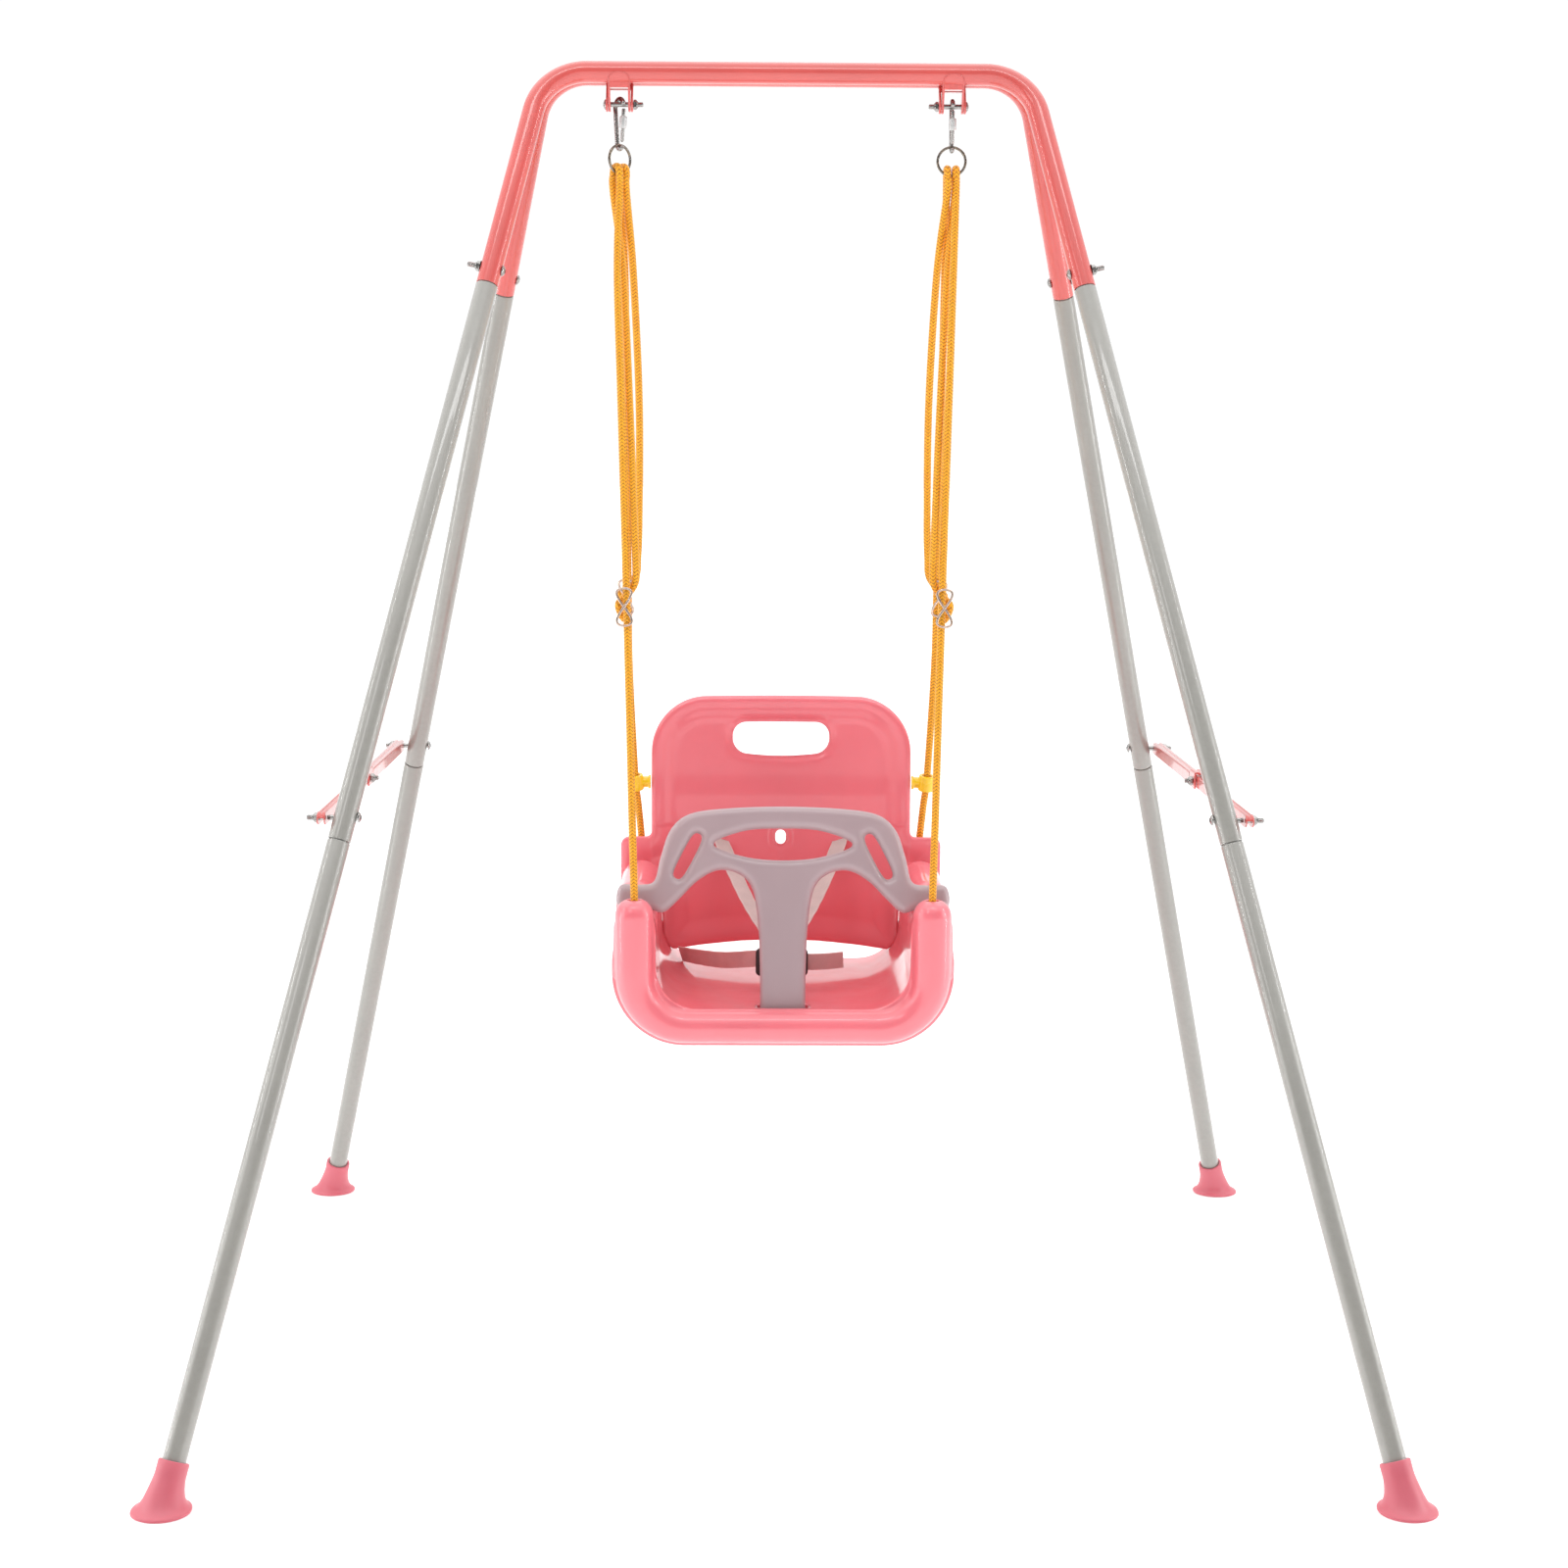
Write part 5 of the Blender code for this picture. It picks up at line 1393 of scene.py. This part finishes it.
def seat_cutters():
    """Rope holes in the posts and rear bosses, and the slot that the guard's post stands in."""
    front_run = Vector((0, sin(GUARD_LEAN), cos(GUARD_LEAN)))
    rear_run = Vector((0, -0.11, 1)).normalized()
    cutters = []
    for side in SIDES.values():
        top = Vector((side * POST_X, SEAT_FRONT, POST_TOP))
        low = Vector((side * POST_X, REAR_ROPE_Y + 0.005, 0.445))
        spans = [(top - front_run * 0.046, top + front_run * 0.02), (low, low + rear_run * 0.08)]
        cutters += [rod_mesh("rope_hole", start, end, ROPE_HOLE_RADIUS) for start, end in spans]
    width, depth = GUARD_FOOT_HALF + 0.0030, GUARD_HALF_DEPTH + 0.0014
    corners = (-width, GUARD_FOOT - 0.004, -depth), (width, GUARD_FOOT + 0.0435, depth)
    slot = block_mesh("guard_slot", *corners)
    slot.transform(guard_matrix())
    return cutters + [slot]


def seat_ribs():
    """Stiffening ribs under the floor."""
    half, low, high = 0.0016, FLOOR_HEIGHT - 0.0125, FLOOR_HEIGHT - 0.003
    boxes = [(x - half, x + half, -0.085, 0.150) for x in (-0.072, -0.024, 0.024, 0.072)]
    boxes += [(-0.098, 0.098, y - half, y + half) for y in (-0.04, 0.03, 0.10)]
    return [block_mesh("rib", (x0, y0, low), (x1, y1, high)) for x0, x1, y0, y1 in boxes]


def seat():
    here = Matrix.Identity(4)
    parts = [seat_shell(), seat_rim(), *seat_ribs()]
    parts.append(block_mesh("guard_pocket", (-0.036, -0.140, 0.3985), (0.036, -0.1075, 0.4225)))
    for side in SIDES.values():
        x, y = side * POST_X, REAR_ROPE_Y + 0.001
        parts.append(rod_mesh("rear_boss", (x, y, 0.452), (x, y, 0.4965), 0.0135))
    whole = joined("seat_whole", [(mesh, here) for mesh in parts])
    union = evaluated("seat_union", whole, voxels(MOULDED_VOXEL))
    union = cut_by("seat_union", union, seat_cutters())
    skin = evaluated("seat_moulded", union, voxels(MOULDED_VOXEL), smoothing(7))
    mesh = joined("seat_base_moulded", [(skin, here), (rim_flange(), here)])
    piece("seat_base_moulded", mesh, "seat_pink", "swing", "seat_base", sharp=1.0)


# ---------------------------------------------------------------- guard bar
def guard_loops():
    half = [
        (0, 0.105), (0.062, 0.103), (0.108, 0.0965), (0.131, 0.078), (0.1425, 0.046),
        (0.150, 0.018), (0.166, 0.0138), (0.187, 0.0140), (0.1935, 0.004), (0.1930, -0.010),
        (0.182, -0.0140), (0.158, -0.0140), (0.1395, -0.0185), (0.122, -0.004), (0.100, 0.0180),
        (0.076, 0.0305), (0.052, 0.0265), (0.036, 0.0090), (0.0292, -0.030), (0.0268, -0.080),
        (GUARD_FOOT_HALF, GUARD_FOOT),
    ]
    outline = half + [(-u, v) for u, v in reversed(half[1:])]
    corners = (len(half) - 1, len(half))
    lens = [(0.0815, 0.061), (0.045, 0.0765), (0, 0.0793), (-0.045, 0.0765)]
    lens += [(-0.0815, 0.061), (-0.045, 0.0465), (0, 0.0423), (0.045, 0.0465)]
    loops = [closed_curve(outline, 8, corners), closed_curve(lens, 10)]
    start, end = Vector((0.098, 0.073)), Vector((0.1247, 0.021))
    run = (end - start).normalized()
    normal = Vector((-run.y, run.x)) * 0.0064
    shoulder = run * 0.008
    for side in SIDES.values():
        slot = [start, start + shoulder + normal, end - shoulder + normal, end]
        slot += [end - shoulder - normal, start + shoulder - normal]
        loops.append([Vector((side * p.x, p.y)) for p in closed_curve(slot, 8)])
    return loops


def guard():
    """The T-shaped bar, its edges rolled round and its arms puffed as blow-moulding leaves them."""
    loops = guard_loops()
    mesh = plate("guard_moulded", loops, GUARD_HALF_DEPTH, 0.0014)
    spots = coordinates(mesh)
    depth = distance_to(loops, spots[:, :2])
    roll = 0.0095
    share = np.clip(depth / roll, 0, 1)
    full = 0.30 + 0.70 * np.sqrt(1 - (1 - share) ** 2)
    spots[:, 2] *= full
    set_coordinates(mesh, spots)
    mesh = evaluated("guard_moulded", mesh, smoothing(10))
    mesh.transform(guard_matrix())
    piece("guard_bar_moulded", mesh, "guard_grey", "guard", "guard_bar", sharp=3.2)


# ---------------------------------------------------------------- backrest
def back_depth(x, z):
    share = np.minimum(np.abs(x) / BACK_HALF, 1.0)
    return 0.1500 - 0.0285 * share**2 + np.maximum(z - 0.60, 0) * 0.055


def rounded_box(half_width, half_height, corner, centre=(0, 0), belly=0.0):
    """A rounded rectangle, its lower edge bowed down by belly."""
    quarter = arc((half_width - corner, half_height - corner), corner, 0, pi / 2, 8)
    loop = quarter + [(-u, v) for u, v in reversed(quarter)]
    under = [(-u, -v) for u, v in quarter] + [(u, -v) for u, v in reversed(quarter)]
    level = [(under[8][0] + (under[9][0] - under[8][0]) * k / 12, under[8][1]) for k in range(1, 12)]
    under = under[:9] + level + under[9:]
    under = [(u, v - belly * (1 - (u / half_width) ** 2)) for u, v in under]
    return [(centre[0] + u, centre[1] + v) for u, v in loop + under]


def back_loops():
    corner = 0.067
    edge = [
        (0.0, 0.451), (0.05, 0.4498), (0.10, 0.4462), (0.134, 0.4425), (0.1410, 0.448),
        (0.1465, 0.460), (0.1480, 0.4980),
    ]
    edge += arc((0.1520, 0.4985), 0.004, pi, pi / 2, 3)
    edge += arc((WING_HALF - 0.008, 0.5105), 0.008, -pi / 2, 0, 5)
    edge += arc((WING_HALF - 0.011, 0.5755), 0.011, 0, pi / 2, 6)
    edge += arc((BACK_HALF + 0.006, 0.5925), 0.006, -pi / 2, -pi, 4)
    edge += [(BACK_HALF, 0.62), (BACK_HALF, 0.66)]
    edge += arc((BACK_HALF - corner, BACK_TOP - corner), corner, 0, pi / 2, 20)
    outline = edge + [(-u, v) for u, v in reversed(edge[1:])]
    slots = [rounded_box(0.0602, 0.0185, 0.0165, (0, 0.7080), 0.0055)]
    slots.append(rounded_box(0.0066, 0.0092, 0.0064, (0, 0.582)))
    return [outline, *slots]


def backrest():
    """A dished panel in a raised border, bent to its curve; ribs stiffen its back."""
    loops = back_loops()
    half = BACK_SKIN / 2
    mesh = plate("backrest_moulded", loops, half, MOULDED_VOXEL)
    spots = coordinates(mesh)
    x, z, w = spots[:, 0], spots[:, 1], spots[:, 2]
    from_edge = distance_to(loops[:1], spots[:, :2])
    from_slots = distance_to(loops[1:], spots[:, :2])
    roll = np.clip(np.minimum(from_edge, from_slots) / 0.0045, 0, 1)
    rounding = 0.40 + 0.60 * np.sqrt(1 - (1 - roll) ** 2)
    dish = smoothstep(from_edge, 0.007, 0.034)
    lip = 1 - smoothstep(from_slots, 0.0, 0.0095)
    step = smoothstep(from_edge, 0.0022, 0.0042) * (z > 0.60)
    off_ribs = [z - height for height in (0.53, 0.60, 0.665)]
    off_ribs += [x - across for across in (-0.09, 0.0, 0.09)]
    ribs = np.max([1 - smoothstep(np.abs(off), 0.0025, 0.0060) for off in off_ribs], axis=0)
    front = w > 0       # local +Z faces the child once the panel is stood up
    front_depth = half - 0.0012 + 0.0012 * step - 0.0042 * dish - 0.0026 * lip
    back_depth_here = half - 0.0024 * dish * (1 - 0.85 * ribs) * (1 - lip)
    depth = np.where(front, front_depth, back_depth_here)
    w = w / half * depth * rounding
    upright = np.column_stack([x, back_depth(x, z) - w, z])
    set_coordinates(mesh, upright)
    mesh = evaluated("backrest_moulded", mesh, smoothing(6))
    piece("backrest_moulded", mesh, "seat_pink", "swing", "backrest", sharp=3.2)


def connector(side_name):
    """Yellow clip: a collar round the rope, and a bar with a flange at the backrest's edge."""
    side = SIDES[side_name]
    centre = Vector((side * CONNECTOR.x, CONNECTOR.y, CONNECTOR.z))
    rope_run = Vector((side * 0.073, -0.180, 1)).normalized()
    bore = ROPE_RADIUS + 0.0012
    size = SLEEVE_RADIUS
    outline = [(bore, -size), (size, -size), (size, size), (bore, size)]
    collar = turned("collar", eased(outline, 0.0012), 48, closed=True)
    collar.transform(along(centre, rope_run))
    edge_x = BACK_HALF + 0.0010
    start = Vector((side * edge_x, centre.y + 0.0025, centre.z))
    end = Vector((side * (CONNECTOR.x - SLEEVE_RADIUS + 0.003), centre.y + 0.0025, centre.z))
    stub = [(0.0078, 0), (0.0086, 0.0006), (0.0086, 0.0024), (0.0070, 0.0034)]
    stub.append((0.0070, (end - start).length))
    bar = turned("bar", stub, 40)
    bar.transform(along(start, end - start))
    name = f"rope_connector_{side_name}_moulded"
    mesh = joined(name, [(collar, Matrix.Identity(4)), (bar, Matrix.Identity(4))])
    mesh = evaluated(name, mesh, voxels(0.0005), smoothing(4))
    piece(name, mesh, "connector_yellow", "swing", f"rope_connector_{side_name}", sharp=3.2)


# ---------------------------------------------------------------- harness
def webbing_section():
    """A ring of (across, over) points: two flat faces, with the selvages pressed thinner."""
    half, thick = WEB_WIDTH / 2, WEB_THICKNESS / 2
    level = [half * 0.94 * (1 - 2 * k / 16) for k in range(17)]
    section = [(u, thick) for u in level]
    section += [(-half, thick * 0.5), (-half, -thick * 0.5)]
    section += [(-u, -thick) for u in level]
    section += [(half, -thick * 0.5), (half, thick * 0.5)]
    return np.array(section)


def set_across(mesh, path, wide, sides):
    """Sets the second UV of each corner to its place across the webbing, 0 to 1."""
    layer = mesh.uv_layers.active.data
    uv = np.empty(len(mesh.loops) * 2)
    layer.foreach_get("uv", uv)
    uv = uv.reshape(-1, 2)
    corner = np.empty(len(mesh.loops), int)
    mesh.loops.foreach_get("vertex_index", corner)
    row = corner // sides
    offset = coordinates(mesh)[corner] - path[row]
    uv[:, 1] = 0.5 + np.sum(offset * wide[row], axis=1) / WEB_WIDTH
    layer.foreach_set("uv", uv.ravel())


def strap(name, node_name, route, width_directions, look="webbing"):
    """Webbing along a route: woven band with soft selvages."""
    path = spaced(smooth_path(route, 12), 0.0015)
    lengths = run_lengths(path)
    keys = np.linspace(0, lengths[-1], len(width_directions))
    wide = np.stack([np.interp(lengths, keys, [d[k] for d in width_directions]) for k in range(3)], -1)
    runs = np.gradient(path, axis=0)
    runs /= np.linalg.norm(runs, axis=1)[:, None]
    wide -= runs * np.sum(wide * runs, axis=1)[:, None]
    wide /= np.linalg.norm(wide, axis=1)[:, None]
    out = np.cross(runs, wide)
    section = webbing_section()
    ripple = 0.00025 * np.sin(lengths * 260)[:, None]
    verts = path[:, None] + section[None, :, :1] * wide[:, None]
    verts = verts + (section[None, :, 1:] + ripple[:, :, None]) * out[:, None]
    mesh = lattice(name, verts, capped=True, lengths=lengths)
    set_across(mesh, path, wide, len(section))
    band = piece(name, mesh, look, "swing", node_name)


def harness():
    for side_name, side in SIDES.items():
        top = Vector((side * 0.0726, 0.1370, 0.5755))
        end = Vector((side * 0.0150, -0.006, 0.4850))
        run = end - top
        sag = Vector((0, 0, -0.008))
        through = top + Vector((side * 0.001, 0.0150, 0.0022))
        route = [through, top, top + run * 0.33 + sag, top + run * 0.66 + sag, end]
        across = (cos(0.35), 0, side * sin(0.35))
        node_name = f"shoulder_strap_{side_name}"
        strap(f"{node_name}_woven", node_name, route, [across, across])
    waist = [
        (-0.1240, 0.107, 0.4410), (-0.100, 0.070, 0.4440), (-0.068, 0.028, 0.4490),
        (-0.0290, -0.016, 0.4600),
    ]
    lean = [(-0.45, 0.10, 1), (-0.1, 0, 1), (0, 0, 1)]
    strap("waist_strap_woven", "waist_strap", waist, lean, "waist_webbing_painted_light")
    tail = [(0.0290, -0.017, 0.4560), (0.050, -0.014, 0.4560), (0.074, -0.008, 0.4570)]
    lean = [(0, 0, 1), (0.03, -0.05, 1)]
    strap("strap_tail_woven", "strap_tail", tail, lean, "waist_webbing_painted_light")
    buckle()


def buckle():
    """Side-release buckle: a body, two side arms and a centre ridge."""
    half = BUCKLE_HALF
    layers = [      # half width, half height, corner, half depth, ease
        (half.x * 0.66, half.z, 0.006, half.y, 0.0012),
        (half.x + 0.0008, half.z * 0.72, 0.006, half.y * 0.62, 0.001),
        (half.x * 0.34, half.z * 0.7, 0.004, half.y + 0.0006, 0.0006),
    ]
    parts = []
    for width, height, corner, depth, ease in layers:
        layer = prism("layer", rounded_box(width, height, corner), -depth, depth, "XZ", ease=ease)
        parts.append((layer, Matrix.Translation(BUCKLE_CENTRE)))
    piece("buckle_moulded", joined("buckle_moulded", parts), "buckle_black", "swing", "buckle")


# ---------------------------------------------------------------- everything
make_looks()
camera()
ropes()
for end_label in ENDS:
    top_tube(end_label)
    for side_label in SIDES:
        frame_side(end_label, side_label)
        hinge_bracket(end_label, side_label)
hinge_bolts()
for side_label in SIDES:
    brace_rear_link(side_label)
    brace_front_link(side_label)
    brace_bolts(side_label)
    hook_body(side_label)
    hook_gate(side_label)
    hanging_ring(side_label)
    connector(side_label)
seat()
guard()
backrest()
harness()
studio()
